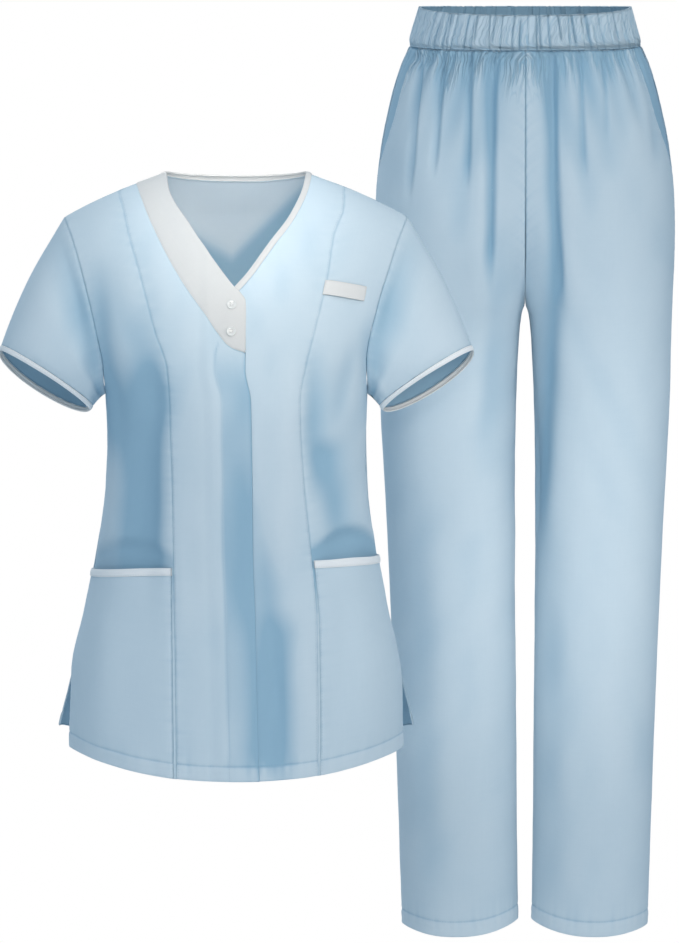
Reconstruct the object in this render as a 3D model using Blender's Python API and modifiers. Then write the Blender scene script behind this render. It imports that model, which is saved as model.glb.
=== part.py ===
"""Medical scrubs: a short-sleeved top with a V neck, and trousers with a gathered waistband.

Both garments are filled out as if worn, and are hollow and open at neck, cuffs, hems and waist. Each piece
that a maker cuts and sews on is a thin wall of its own, parted from its neighbours at the seams.

Units are metres and +Z is up. The garments face -Y. The origin lies between the shoulders of the top, at the
height of its shoulder points by the neck. Right and left are the wearer's: right is -X.
"""

import math

import bmesh
import bpy
from mathutils import Matrix, Vector

# ---- cloth
CLOTH = 0.0015
SEAM_GAP = 0.0003
BINDING_CLOTH = 0.0018
LAYER = CLOTH + SEAM_GAP
FRONT, BACK = -1, 1
RIGHT, LEFT = -1, 1

# ---- top: heights
UNDERARM = -0.2376
VENT_TOP = -0.5434
FRONT_HEM_CENTRE = -0.6570
FRONT_HEM_RISE = 0.0310
BACK_HEM_CENTRE = -0.6400
BACK_HEM_RISE = 0.0300
HEM_HALF_WIDTH = 0.1840
HEM_CURVE = 2.3
VENT_ANGLE = 3.2

# ---- top: roundness of the shoulders, seen from the side
SHOULDER_DROP = 0.160
SHOULDER_ROUND = 1.7
RIDGE_WIDTH = 0.0012
BODY_BACKED_OFF = 0.10

# ---- top: neck, bands and small pieces
BAND_SHOULDER = 0.1100
BINDING_WIDTH = 0.0065
BACK_NECK_HEIGHT = -0.0020
BACK_NECK_CURVE = 3
UNDERLAP = 0.0330
UNDERLAP_CORNER_DROP = 0.0130
LAP_RAMP = (0.0200, 0.0060)
LAP_LIFT = CLOTH + 0.0009
POCKET_BAND_WIDTH = 0.0085
POCKET_SIDE_INSET = 0.0022
POCKET_SEAM_INSET = 0.0012
CHEST_TAB_CENTRE = (0.1187, -0.1218)
CHEST_TAB_SIZE = (0.0463, 0.0155)
CHEST_TAB_TILT = -11.0
CHEST_TAB_CLOTH = 0.0012
CHEST_TAB_BOW = 0.0020
BUTTON_PLACES = {"button_upper": (-0.0047, -0.1352), "button_lower": (-0.0052, -0.1640)}
BUTTON_RADIUS = 0.0055
BUTTON_THICKNESS = 0.0024
BUTTON_RIM = 0.0012
BUTTON_DISH = 0.0006
BUTTON_HOLE_RADIUS = 0.0007
BUTTON_HOLE_PITCH = 0.0026
BUTTON_SIDES = 16

# ---- top: sleeves
CUFF_OUTER = (0.2580, -0.1870)
CUFF_INNER = (0.1576, -0.2535)
CUFF_HALF_DEPTH = 0.0390
CUFF_FRONT_TILT = -0.0070
CUFF_BACK_TILT = 0.0170
SLEEVE_BULGE_TOP = 0.0100
SLEEVE_BULGE_SIDE = 0.0080
CUFF_BAND_WIDTH = 0.0060
SLEEVE_TURNED_IN = 0.1
SLEEVE_GAP = 0.0006
SLEEVE_ROWS = (0.0, 0.12, 0.32, 0.56, 0.80, 1.0)

# ---- trousers: where they stand, and their own heights above the waist seam
TROUSERS_PLACE = Vector((0.3182, 0.2000, 0.1330))
BAND_TOP_SIDE = 0.0415
BAND_TOP_DIP = 0.0045
CROTCH = -0.2890
LEG_HEM = -0.9705
LEG_HEM_TILT = 0.0025
LEG_HEM_DIP = 0.0132
BAND_GATHERS = 56
BAND_GATHER_DEPTH = 0.0014
BAND_CLOTH = 0.0022
GATHERS_PER_QUARTER = 12
GATHER_DEPTH = 0.0022
GATHER_REACH = (0.030, 0.075)
FACING_SEAM_TURN = 0.0004
FACING_GAP = 0.0008
FACING_FOOT_SHARES = (0.02, 0.20, 0.40, 0.70, 1.0)

# ---- columns of the panels: distances from the middle at their upper edges
SIDE_COLUMNS = 5
BAND_COLUMNS = (-0.1088, -0.1055, -0.0990, -0.0890, -0.0750, -0.0550)
BAND_STRIPS = 3
BINDING_COLUMNS = (0.0260, 0.0430, 0.0590, 0.0710, 0.0790, 0.0817)
BACK_NECK_COLUMNS = 10
SHOULDER_COLUMNS = 3

# ---- rows of the panels: shares of the stretch from one level to the next, and heights under the arm
HEM_ROWS = (0.0, 0.14, 0.45, 0.75, 1.0)
SKIRT_ROWS = (0.33, 0.67, 1.0)
WAIST_ROWS = (0.18, 0.36, 0.54, 0.76, 1.0)
UNDERARM_ROWS = (-0.2345, -0.2290, -0.2200, -0.2080, -0.1920)
CHEST_ROWS = (0.14, 0.32, 0.50, 0.68, 0.84, 0.95, 1.0)
MOUTH_ROW = len(HEM_ROWS) + len(SKIRT_ROWS) - 1
LEG_ROWS = (0.0, 0.03, 0.16, 0.34, 0.54, 0.76, 1.0)
KNEE_TO_CROTCH = -0.3100
CROTCH_ROWS = (-0.2980, -0.2920, -0.2880, -0.2830, -0.2750, -0.2630, -0.2450, -0.2200)
HIP_ROWS = (-0.1850, -0.1450, -0.1150)
GATHERED_ROWS = (-0.0900, -0.0620, -0.0380, -0.0180, -SEAM_GAP)


class Table:
    """Sizes down a garment, read smoothly between the rows and never past the rows' own values."""

    def __init__(self, columns, rows):
        rows = sorted(rows)
        self.keys = [row[0] for row in rows]
        self.columns = {name: [row[i + 1] for row in rows] for i, name in enumerate(columns)}

    def slope(self, values, i):
        """Slope at row i that keeps the curve from overshooting."""
        last = len(values) - 1
        before = (values[i] - values[i - 1]) / (self.keys[i] - self.keys[i - 1]) if i else 0.0
        after = (values[i + 1] - values[i]) / (self.keys[i + 1] - self.keys[i]) if i < last else 0.0
        if i in (0, last):
            return after + before
        if before * after <= 0.0:
            return 0.0
        return 2.0 * before * after / (before + after)

    def at(self, key, name):
        """Value of the named column at the key."""
        values = self.columns[name]
        if key <= self.keys[0]:
            return values[0]
        if key >= self.keys[-1]:
            return values[-1]
        i = max(j for j, k in enumerate(self.keys[:-1]) if k <= key)
        step = self.keys[i + 1] - self.keys[i]
        t = (key - self.keys[i]) / step
        start, end = values[i], values[i + 1]
        lean_in, lean_out = self.slope(values, i) * step, self.slope(values, i + 1) * step
        rest = 1.0 - t
        blend = start * (1.0 + 2.0 * t) * rest * rest + end * t * t * (3.0 - 2.0 * t)
        return blend + lean_in * t * rest * rest - lean_out * t * t * rest


def route(points):
    """Table of a curve through (x, height) points, keyed by the share of its length."""
    lengths = [0.0]
    for start, end in zip(points, points[1:]):
        lengths.append(lengths[-1] + math.dist(start, end))
    return Table(("x", "height"), [(s / lengths[-1], *p) for s, p in zip(lengths, points)])


# Body of the top. Half widths of front and back part at the side vents.
TORSO = Table(
    ("half_front", "half_back", "front", "back", "square"),
    [
        # height, half_front, half_back, front, back, square
        (0.0000, 0.2100, 0.2100, 0.0740, 0.0800, 2.10),
        (-0.0466, 0.2000, 0.2000, 0.0890, 0.0930, 2.10),
        (-0.1200, 0.1840, 0.1840, 0.1070, 0.1030, 2.15),
        (-0.1850, 0.1640, 0.1640, 0.1210, 0.1030, 2.20),
        (-0.2376, 0.1438, 0.1438, 0.1230, 0.0990, 2.20),
        (-0.2871, 0.1418, 0.1418, 0.1180, 0.0950, 2.20),
        (-0.3421, 0.1437, 0.1437, 0.1140, 0.0940, 2.20),
        (-0.4103, 0.1534, 0.1534, 0.1150, 0.1000, 2.25),
        (-0.4785, 0.1664, 0.1664, 0.1210, 0.1100, 2.30),
        (-0.5434, 0.1797, 0.1803, 0.1280, 0.1190, 2.30),
        (-0.6250, 0.1830, 0.1992, 0.1340, 0.1260, 2.30),
        (-0.6600, 0.1835, 0.2030, 0.1350, 0.1280, 2.30),
    ],
)

# Armhole seam: its distance from the middle on each side, and how far round the body it lies, in degrees.
ARMHOLE = Table(
    ("right", "left", "turn"),
    [
        # height, right, left, turn
        (-0.0466, 0.1881, 0.1870, 34.0),
        (-0.0730, 0.1780, 0.1765, 33.0),
        (-0.1050, 0.1690, 0.1660, 31.0),
        (-0.1430, 0.1612, 0.1548, 30.0),
        (-0.1750, 0.1555, 0.1485, 27.0),
        (-0.2050, 0.1500, 0.1448, 20.0),
        (-0.2250, 0.1460, 0.1436, 11.0),
        (-0.2376, 0.1438, 0.1438, 0.0),
    ],
)

SHOULDER = Table(
    ("height",),
    [
        # distance from the middle, height of the shoulder line
        (0.0000, 0.0300),
        (0.0400, 0.0230),
        (0.0778, 0.0038),
        (0.1287, -0.0158),
        (0.1881, -0.0452),
        (0.2200, -0.0700),
    ],
)

# Seams of the fronts: princess seams right and left, and the edge of the front that laps over.
SEAMS = Table(
    ("princess_right", "princess_left", "lap_edge"),
    [
        # height, princess_right, princess_left, lap_edge
        (-0.0100, 0.1287, 0.1186, 0.0106),
        (-0.0190, 0.1287, 0.1186, 0.0106),
        (-0.0310, 0.1250, 0.1183, 0.0106),
        (-0.0620, 0.1178, 0.1073, 0.0106),
        (-0.1060, 0.1050, 0.1003, 0.0106),
        (-0.1680, 0.0886, 0.0850, 0.0106),
        (-0.2050, 0.0765, 0.0765, 0.0100),
        (-0.2400, 0.0745, 0.0699, 0.0160),
        (-0.3210, 0.0705, 0.0735, 0.0174),
        (-0.4130, 0.0682, 0.0830, 0.0188),
        (-0.4840, 0.0672, 0.0885, 0.0216),
        (-0.5650, 0.0659, 0.0893, 0.0234),
        (-0.6540, 0.0650, 0.0896, 0.0256),
    ],
)

# Wide neck band on the right: neckline and front edge, and the seam with the front.
BAND_INNER = route(
    [(-0.0768, 0.0043), (-0.0740, -0.0128), (-0.0504, -0.0500), (-0.0230, -0.0890), (-0.0020, -0.1157),
     (0.0050, -0.1222), (0.0104, -0.1310), (0.0110, -0.1440), (0.0106, -0.1660), (0.0104, -0.1835)]
)  # fmt: skip
BAND_OUTER = route(
    [(-BAND_SHOULDER, -0.0080), (-0.0959, -0.0430), (-0.0778, -0.0790), (-0.0595, -0.1100),
     (-0.0413, -0.1355), (-0.0307, -0.1500), (-0.0199, -0.1660), (-0.0064, -0.1808), (0.0096, -0.1868)]
)  # fmt: skip

# Narrow binding on the left: neckline, from under the lapping front up to the shoulder.
BINDING_INNER = route(
    [(-0.0160, -0.1330), (-0.0017, -0.1157), (0.0129, -0.0995), (0.0366, -0.0678), (0.0585, -0.0400),
     (0.0732, -0.0107), (0.0768, 0.0043)]
)  # fmt: skip

# Level of the pocket mouths round the front, also the level of a row of every panel.
MOUTH = Table(
    ("height",),
    [
        # distance from the middle, height
        (-0.1600, -0.4316),
        (-0.0700, -0.4245),
        (0.0300, -0.4245),
        (0.0840, -0.4166),
        (0.1600, -0.4164),
    ],
)

# Largest folds of the top: a row is a soft trough (depth below 0) or ridge along a straight line.
TOP_FOLDS = {
    FRONT: [
        # x_high, height_high, x_low, height_low, half_width, depth
        (-0.112, -0.210, -0.108, -0.420, 0.022, -0.0045),
        (-0.030, -0.230, -0.040, -0.480, 0.020, 0.0025),
        (0.052, -0.480, 0.030, -0.640, 0.020, -0.0045),
        (0.062, -0.200, 0.046, -0.420, 0.018, 0.0030),
        (0.104, -0.290, 0.118, -0.410, 0.018, -0.0045),
        (-0.140, -0.480, -0.150, -0.620, 0.018, 0.0030),
        (0.135, -0.470, 0.150, -0.620, 0.018, 0.0030),
    ],
    BACK: [
        (-0.090, -0.180, -0.070, -0.400, 0.022, -0.0040),
        (0.085, -0.190, 0.070, -0.420, 0.022, -0.0040),
        (0.004, -0.280, 0.000, -0.520, 0.022, -0.0035),
        (-0.110, -0.430, -0.130, -0.610, 0.020, 0.0035),
        (0.105, -0.440, 0.125, -0.610, 0.020, 0.0035),
    ],
}

# One leg of the trousers, up to the waist: past the crotch its inner side crosses the middle and is cut there.
LEG = Table(
    ("outer", "inner", "front", "back", "square"),
    [
        # height, outer, inner, front, back, square
        (0.0420, 0.1164, -0.1164, 0.0920, 0.0880, 2.20),
        (0.0000, 0.1284, -0.1284, 0.1000, 0.0950, 2.25),
        (-0.0226, 0.1377, -0.1320, 0.1040, 0.1010, 2.30),
        (-0.0655, 0.1494, -0.1270, 0.1090, 0.1110, 2.35),
        (-0.1172, 0.1596, -0.1100, 0.1120, 0.1220, 2.40),
        (-0.1710, 0.1648, -0.0800, 0.1120, 0.1270, 2.40),
        (-0.2060, 0.1655, -0.0500, 0.1100, 0.1260, 2.40),
        (-0.2350, 0.1650, -0.0270, 0.1070, 0.1220, 2.40),
        (-0.2550, 0.1642, -0.0140, 0.1040, 0.1190, 2.40),
        (-0.2700, 0.1634, -0.0060, 0.1020, 0.1160, 2.40),
        (-0.2800, 0.1630, -0.0020, 0.1005, 0.1140, 2.40),
        (-0.2870, 0.1627, -0.0003, 0.0995, 0.1125, 2.40),
        (CROTCH, 0.1626, 0.0008, 0.0990, 0.1120, 2.40),
        (-0.2970, 0.1623, 0.0036, 0.0975, 0.1100, 2.38),
        (-0.3270, 0.1613, 0.0068, 0.0940, 0.1050, 2.35),
        (-0.3955, 0.1597, 0.0098, 0.0870, 0.0950, 2.30),
        (-0.4714, 0.1558, 0.0111, 0.0800, 0.0860, 2.30),
        (-0.5580, 0.1513, 0.0113, 0.0740, 0.0790, 2.25),
        (-0.7230, 0.1443, 0.0099, 0.0660, 0.0710, 2.20),
        (-0.8420, 0.1400, 0.0090, 0.0630, 0.0670, 2.20),
        (-0.9740, 0.1355, 0.0074, 0.0600, 0.0630, 2.20),
    ],
)

# Slanted pocket mouth: how far round from the side seam the front is cut away, in degrees.
POCKET_MOUTH = Table(
    ("turn",),
    [
        # height, turn
        (0.0000, 22.0),
        (-0.0655, 20.5),
        (-0.0900, 18.0),
        (-0.1150, 12.0),
        (-0.1450, 0.0),
    ],
)

# Longest folds that fall from the waist seam, by how far round from the side seam they lie, in degrees.
LONG_FOLDS = {
    FRONT: [
        # turn, half_turn, depth, reach
        (38.0, 5.0, -0.0040, 0.130),
        (52.0, 5.5, -0.0035, 0.150),
        (65.0, 5.5, -0.0045, 0.180),
        (80.0, 6.5, -0.0050, 0.260),
    ],
    BACK: [
        (28.0, 5.5, -0.0035, 0.120),
        (46.0, 6.0, -0.0045, 0.170),
        (64.0, 6.0, -0.0040, 0.140),
        (81.0, 6.0, -0.0040, 0.150),
    ],
}


def signed_power(value, power):
    """Power of the size of the value, with the value's own sign."""
    return math.copysign(abs(value) ** power, value)


def smooth_step(value):
    """Soft rise from 0 to 1 while the value goes from 0 to 1."""
    value = min(1.0, max(0.0, value))
    return value * value * (3.0 - 2.0 * value)


def mix(start, end, share):
    """Value that lies the given share of the way from start to end."""
    return start + (end - start) * share


def surface_normal(point, angle, height, outward):
    """Unit normal of a form at an angle and height, on the side that outward points to."""
    turn, rise = 0.0020, 0.0010
    across = point(angle + turn, height) - point(angle - turn, height)
    along = point(angle, height + rise) - point(angle, height - rise)
    normal = across.cross(along).normalized()
    return normal if normal.dot(outward) > 0.0 else -normal


class Torso:
    """Filled-out body of the top. Angle 0 is the left side, pi the right, on the front and back face alike."""

    def half_width(self, face, angle, height):
        """Half the width of the ring that the face and side belong to."""
        if height <= UNDERARM:
            return TORSO.at(height, "half_front" if face == FRONT else "half_back")
        seam = ARMHOLE.at(height, "right" if math.cos(angle) < 0.0 else "left")
        turn = math.radians(ARMHOLE.at(height, "turn"))
        return seam / math.cos(turn) ** (2.0 / TORSO.at(height, "square"))

    def below_shoulder(self, x, height):
        """Height that a place lies below the shoulder line."""
        return max(0.0, SHOULDER.at(abs(x), "height") - height)

    def bare_point(self, face, angle, height):
        """Point of the smooth form, without folds."""
        power = 2.0 / TORSO.at(height, "square")
        x = self.half_width(face, angle, height) * signed_power(math.cos(angle), power)
        depth = TORSO.at(height, "front" if face == FRONT else "back")
        drop = 1.0 - min(1.0, self.below_shoulder(x, height) / SHOULDER_DROP)
        rounding = (1.0 - drop**SHOULDER_ROUND) ** (1.0 / SHOULDER_ROUND)
        y = depth * rounding * signed_power(math.sin(angle), power) + SEAM_GAP / 2.0
        return Vector((x, face * y, height))

    def normal(self, face, angle, height):
        """Normal of the form. Along the shoulder line both faces share the ridge's own normal."""
        place = self.bare_point(face, angle, height)
        if self.below_shoulder(place.x, height) < RIDGE_WIDTH:
            reach = 0.004
            rise = SHOULDER.at(abs(place.x) + reach, "height") - SHOULDER.at(abs(place.x) - reach, "height")
            return Vector((math.copysign(rise / (2.0 * reach), place.x), 0.0, 1.0)).normalized()
        outward = Vector((place.x, place.y, BODY_BACKED_OFF))
        return surface_normal(lambda a, h: self.bare_point(face, a, h), angle, height, outward)

    def fold(self, face, place):
        """Height of the folds over the smooth form."""
        total = 0.0
        for x_high, high, x_low, low, half_width, depth in TOP_FOLDS[face]:
            share = (high - place.z) / (high - low)
            ends = smooth_step(share * 4.0 + 0.5) * smooth_step((1.0 - share) * 4.0 + 0.5)
            away = (place.x - mix(x_high, x_low, share)) / half_width
            total += depth * ends * math.exp(-away * away)
        return total

    def wall(self, face, angle, height, lift=0.0, thickness=CLOTH):
        """Outer and inner point of cloth whose outer side stands off the form by the lift."""
        place = self.bare_point(face, angle, height)
        normal = self.normal(face, angle, height)
        outer = place + normal * (self.fold(face, place) + lift)
        return outer, outer - normal * thickness

    def angle_at(self, face, x, height):
        """Angle at which the face reaches a distance from the middle."""
        half = self.half_width(face, 0.0 if x > 0.0 else math.pi, height)
        share = min(1.0, abs(x) / half) ** (TORSO.at(height, "square") / 2.0)
        return math.acos(share) if x > 0.0 else math.pi - math.acos(share)

    def edge_angle(self, side, height):
        """Angle of the side seam, the armhole above it and the vent below it."""
        if height > UNDERARM:
            turn = ARMHOLE.at(height, "turn")
        else:
            turn = VENT_ANGLE * smooth_step((VENT_TOP - height) / (VENT_TOP - FRONT_HEM_CENTRE))
        return math.radians(turn) if side == LEFT else math.pi - math.radians(turn)

    def wall_at(self, face, x, height, lift=0.0, thickness=CLOTH):
        """Outer and inner point of the cloth at a distance from the middle."""
        return self.wall(face, self.angle_at(face, x, height), height, lift, thickness)


class Trousers:
    """Filled-out trousers. One leg and its half of the hips are a tube, cut where it meets the other leg."""

    def middle(self, height):
        """Middle and half width of the tube."""
        outer, inner = LEG.at(height, "outer"), LEG.at(height, "inner")
        return (outer + inner) / 2.0, (outer - inner) / 2.0

    def bare_point(self, face, angle, height):
        """Point of the left leg's smooth form. Angle 0 is the side seam and pi the inseam."""
        middle, half = self.middle(height)
        power = 2.0 / LEG.at(height, "square")
        depth = LEG.at(height, "front" if face == FRONT else "back")
        x = middle + half * signed_power(math.cos(angle), power)
        y = depth * signed_power(math.sin(angle), power) + SEAM_GAP / 2.0
        return Vector((x, face * y, height))

    def normal(self, face, angle, height):
        """Normal of the form."""
        place = self.bare_point(face, angle, height)
        outward = Vector((place.x - self.middle(height)[0], place.y, 0.0))
        return surface_normal(lambda a, h: self.bare_point(face, a, h), angle, height, outward)

    def centre_angle(self, height):
        """Angle of the inseam, or of the centre seam above the crotch."""
        middle, half = self.middle(height)
        reach = (middle - SEAM_GAP / 2.0) / half
        if reach >= 1.0:
            return math.pi
        return math.pi - math.acos(max(0.0, reach) ** (LEG.at(height, "square") / 2.0))

    def gather(self, face, angle, height):
        """Height of the gathers and long folds over the smooth form."""
        below = max(0.0, -height)
        turn = math.degrees(angle)
        pitch = math.degrees(self.centre_angle(height)) / GATHERS_PER_QUARTER
        shortest, longest = GATHER_REACH
        total = 0.0
        for i in range(GATHERS_PER_QUARTER):
            reach = mix(shortest, longest, (i * i * 0.37 + (0.2 if face == FRONT else 0.6)) % 1.0)
            away = (turn - (i + 0.5) * pitch) / (pitch * 0.33)
            total -= GATHER_DEPTH * math.exp(-away * away) * (1.0 - smooth_step(below / reach))
        for place, half_turn, depth, reach in LONG_FOLDS[face]:
            away = (turn - place) / half_turn
            total += depth * math.exp(-away * away) * (1.0 - smooth_step(below / reach))
        return total

    def wall(self, face, angle, height, lift=0.0, thickness=CLOTH, folded=1.0):
        """Outer and inner point of the left leg's cloth."""
        normal = self.normal(face, angle, height)
        rise = lift + folded * self.gather(face, angle, height)
        outer = self.bare_point(face, angle, height) + normal * rise
        return outer, outer - normal * thickness

    def hem(self, angle):
        """Height of the leg's hem, which dips at the front and the back."""
        return LEG_HEM - LEG_HEM_TILT * math.cos(angle) - LEG_HEM_DIP * math.sin(angle) ** 2


TORSO_FORM = Torso()
TROUSERS_FORM = Trousers()


# ---- from walls to solids


def paint(name, colour, roughness):
    """Principled material with the finish of one kind of cloth or plastic."""
    material = bpy.data.materials.get(name) or bpy.data.materials.new(name)
    material.use_nodes = True
    shader = material.node_tree.nodes["Principled BSDF"]
    shader.inputs["Base Color"].default_value = (*colour, 1.0)
    shader.inputs["Roughness"].default_value = roughness
    shader.inputs["Metallic"].default_value = 0.0
    return material


def blue_poplin(name):
    """Pale blue cloth of one piece."""
    return paint(f"{name}_blue_poplin", (0.48, 0.66, 0.80), 0.85)


def white_poplin(name):
    """White trim cloth of one piece."""
    return paint(f"{name}_white_poplin", (0.84, 0.84, 0.82), 0.85)


def white_button(name):
    """White button plastic of one piece."""
    return paint(f"{name}_plastic", (0.86, 0.86, 0.84), 0.35)


def strip_faces(low, high):
    """Faces between two rows of corners, also where one row has twice as many steps as the other.

    They are all cut along the same diagonal, so that layers with the same points never meet.
    """
    faces = []
    if len(low) == len(high):
        for i in range(len(low) - 1):
            faces += [(low[i], low[i + 1], high[i + 1]), (low[i], high[i + 1], high[i])]
        return faces
    if len(low) > len(high):
        return [face[::-1] for face in strip_faces(high, low)]
    for i in range(len(low) - 1):
        a, b, c = high[2 * i : 2 * i + 3]
        faces += [(low[i], b, a), (low[i], low[i + 1], b), (low[i + 1], c, b)]
    return faces


def shell(name, rows, material, closed=False):
    """Closed wall lofted through rows of (outer, inner) points. A closed one joins its last point to its first."""
    mesh = bpy.data.meshes.new(name)
    bm = bmesh.new()
    sheets = []
    for side in (0, 1):
        grid = [[bm.verts.new(pair[side]) for pair in row] for row in rows]
        sheets.append([row + row[:1] for row in grid] if closed else grid)
    outer, inner = sheets
    for low, high in zip(outer, outer[1:]):
        for face in strip_faces(low, high):
            bm.faces.new(face)
    for low, high in zip(inner, inner[1:]):
        for face in strip_faces(low, high):
            bm.faces.new(face[::-1])
    rims = [(outer[0][::-1], inner[0][::-1]), (outer[-1], inner[-1])]
    if not closed:
        rims.append(([row[0] for row in outer], [row[0] for row in inner]))
        rims.append(([row[-1] for row in outer][::-1], [row[-1] for row in inner][::-1]))
    for edge, back_edge in rims:
        for face in strip_faces(edge, back_edge):
            bm.faces.new(face)
    bmesh.ops.recalc_face_normals(bm, faces=bm.faces)
    bm.to_mesh(mesh)
    bm.free()
    mesh.shade_smooth()
    mesh.set_sharp_from_angle(angle=math.radians(50.0))
    mesh.materials.append(material(name))
    piece = bpy.data.objects.new(name, mesh)
    PARTS.objects.link(piece)
    return piece


# ---- top


def front_hem(x):
    """Height of the front hem, which curves up to the side vents."""
    return FRONT_HEM_CENTRE + FRONT_HEM_RISE * (abs(x) / HEM_HALF_WIDTH) ** HEM_CURVE


def back_hem(x):
    """Height of the back hem."""
    return BACK_HEM_CENTRE + BACK_HEM_RISE * (abs(x) / HEM_HALF_WIDTH) ** HEM_CURVE


def shoulder_place(x):
    """Place on the shoulder seam at a distance from the middle."""
    return x, SHOULDER.at(abs(x), "height")


def beside(curve, share, distance):
    """Place beside a curve, on the right of its run, and never above the shoulder line."""
    step = 0.01
    start, end = max(0.0, share - step), min(1.0, share + step)
    run = Vector((curve.at(end, "x") - curve.at(start, "x"), curve.at(end, "height") - curve.at(start, "height")))
    run.normalize()
    x = curve.at(share, "x") + run.y * distance
    return x, min(curve.at(share, "height") - run.x * distance, shoulder_place(x)[1])


def back_neck(share, half_width, height):
    """Place on a curve round the back of the neck, share from -1 at the right to 1 at the left."""
    end = shoulder_place(half_width)[1]
    return share * half_width, mix(height, end, abs(share) ** BACK_NECK_CURVE)


def lap_lift(x, height):
    """Height that the lapping front stands over the underlap."""
    underlap_edge = SEAMS.at(height, "lap_edge") - UNDERLAP
    start, end = LAP_RAMP
    return LAP_LIFT * smooth_step((x - underlap_edge + start) / (start - end))


def share_where(place_at, x):
    """Share of a curve that runs towards the left at which it reaches a distance from the middle."""
    low, high = 0.0, 1.0
    for _ in range(24):
        middle = (low + high) / 2.0
        if place_at(middle)[0] < x:
            low = middle
        else:
            high = middle
    return low


def spread(face, start, end, heads):
    """Columns between two edges of a panel, one for each place along its upper edge.

    start and end give the edges' angles at a height. A column is its angle at a height, and its upper end.
    """
    columns = []
    for x, height in heads:
        share = (TORSO_FORM.angle_at(face, x, height) - start(height)) / (end(height) - start(height))
        share = round(share, 3) if len(columns) in (0, len(heads) - 1) else share
        share = min(1.0, max(0.0, share))
        columns.append((lambda h, share=share: mix(start(h), end(h), share), height))
    return columns


def panel_rows(face, columns, foot, lift=None):
    """Rows of wall points of a panel of the body, from its hem up.

    foot gives the height of the hem at a distance from the middle. All panels have their rows at the same levels:
    the top of the vents, the pocket mouths, the underarm and the chest.
    """
    form = TORSO_FORM

    def level(edge, angle_of):
        height = FRONT_HEM_CENTRE
        for _ in range(8):
            height = edge(form.bare_point(face, angle_of(height), height).x)
        return height

    lines = []
    for angle_of, head in columns:
        hem = level(foot, angle_of)
        mouth = level(lambda x: MOUTH.at(x, "height"), angle_of)
        heights = [mix(hem, VENT_TOP, row) for row in HEM_ROWS]
        heights += [mix(VENT_TOP, mouth - POCKET_BAND_WIDTH, row) for row in SKIRT_ROWS]
        heights.append(mouth)
        heights += [mix(mouth, UNDERARM, row) for row in WAIST_ROWS]
        heights += UNDERARM_ROWS
        heights += [mix(UNDERARM_ROWS[-1], head, row) for row in CHEST_ROWS]
        lines.append(heights)
    rows = []
    for heights in zip(*lines):
        row = []
        for (angle_of, _), height in zip(columns, heights):
            angle = angle_of(height)
            x = form.bare_point(face, angle, height).x
            row.append(form.wall(face, angle, height, lift(x, height) if lift else 0.0))
        rows.append(row)
    return rows


def body_edge(side):
    """Angle of the side seam, armhole and vent at a height."""
    return lambda height: TORSO_FORM.edge_angle(side, height)


def front_seam(column, side, shift):
    """Angle of a seam of the fronts at a height, moved by the shift along X."""
    return lambda height: TORSO_FORM.angle_at(FRONT, side * SEAMS.at(height, column) + shift, height)


def band_seam(x):
    """Place on the right centre front's seam with the neck band."""
    return beside(BAND_OUTER, share_where(lambda s: (BAND_OUTER.at(s, "x"),), x), SEAM_GAP)


def binding_seam(x):
    """Place on the left centre front's seam with the binding."""
    return beside(BINDING_INNER, share_where(binding_edge, x), BINDING_WIDTH + SEAM_GAP)


def binding_edge(share):
    """Place on the binding's own edge at that seam."""
    return beside(BINDING_INNER, share, BINDING_WIDTH)


def moved_out(rows, rise, thickness):
    """Walls of a piece that lies on a panel: the panel's own points, with the outer side moved out by the rise."""
    moved = []
    for row in rows:
        facings = [(outer - inner).normalized() for outer, inner in row]
        lifted = [outer + facing * rise for (outer, _), facing in zip(row, facings)]
        moved.append([(outer, outer - facing * thickness) for outer, facing in zip(lifted, facings)])
    return moved


def between(start, end, share):
    """Wall points that lie the given share of the way between two others."""
    return tuple(first.lerp(last, share) for first, last in zip(start, end))


def build_side_front(side, suffix):
    """Side front, and on it the pocket with the band on its mouth, from the panel's own points."""
    half_gap = SEAM_GAP / 2.0
    seam = side * (SEAMS.at(0.0, f"princess_{suffix}") + half_gap)
    tip = side * ARMHOLE.at(0.0, suffix)
    inset_seam, inset_side = seam + side * POCKET_SEAM_INSET, tip - side * POCKET_SIDE_INSET
    inset = [mix(inset_seam, inset_side, i / SIDE_COLUMNS) for i in range(SIDE_COLUMNS + 1)]
    heads = [shoulder_place(x) for x in (seam, *inset, tip)]
    columns = spread(FRONT, front_seam(f"princess_{suffix}", side, side * half_gap), body_edge(side), heads)
    rows = panel_rows(FRONT, columns, front_hem)
    shell(f"front_side_{suffix}", rows, blue_poplin)

    covered = [row[1:-1] for row in rows]
    shell(f"pocket_{suffix}", moved_out(covered[: MOUTH_ROW + 1], SEAM_GAP + CLOTH, CLOTH), blue_poplin)
    rise = SEAM_GAP + BINDING_CLOTH
    low, high = moved_out(covered[MOUTH_ROW : MOUTH_ROW + 2], rise, BINDING_CLOTH)
    low = [between(*pairs, SEAM_GAP / POCKET_BAND_WIDTH) for pairs in zip(low, high)]
    shell(f"pocket_band_{suffix}", [low, high], white_poplin)


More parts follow.
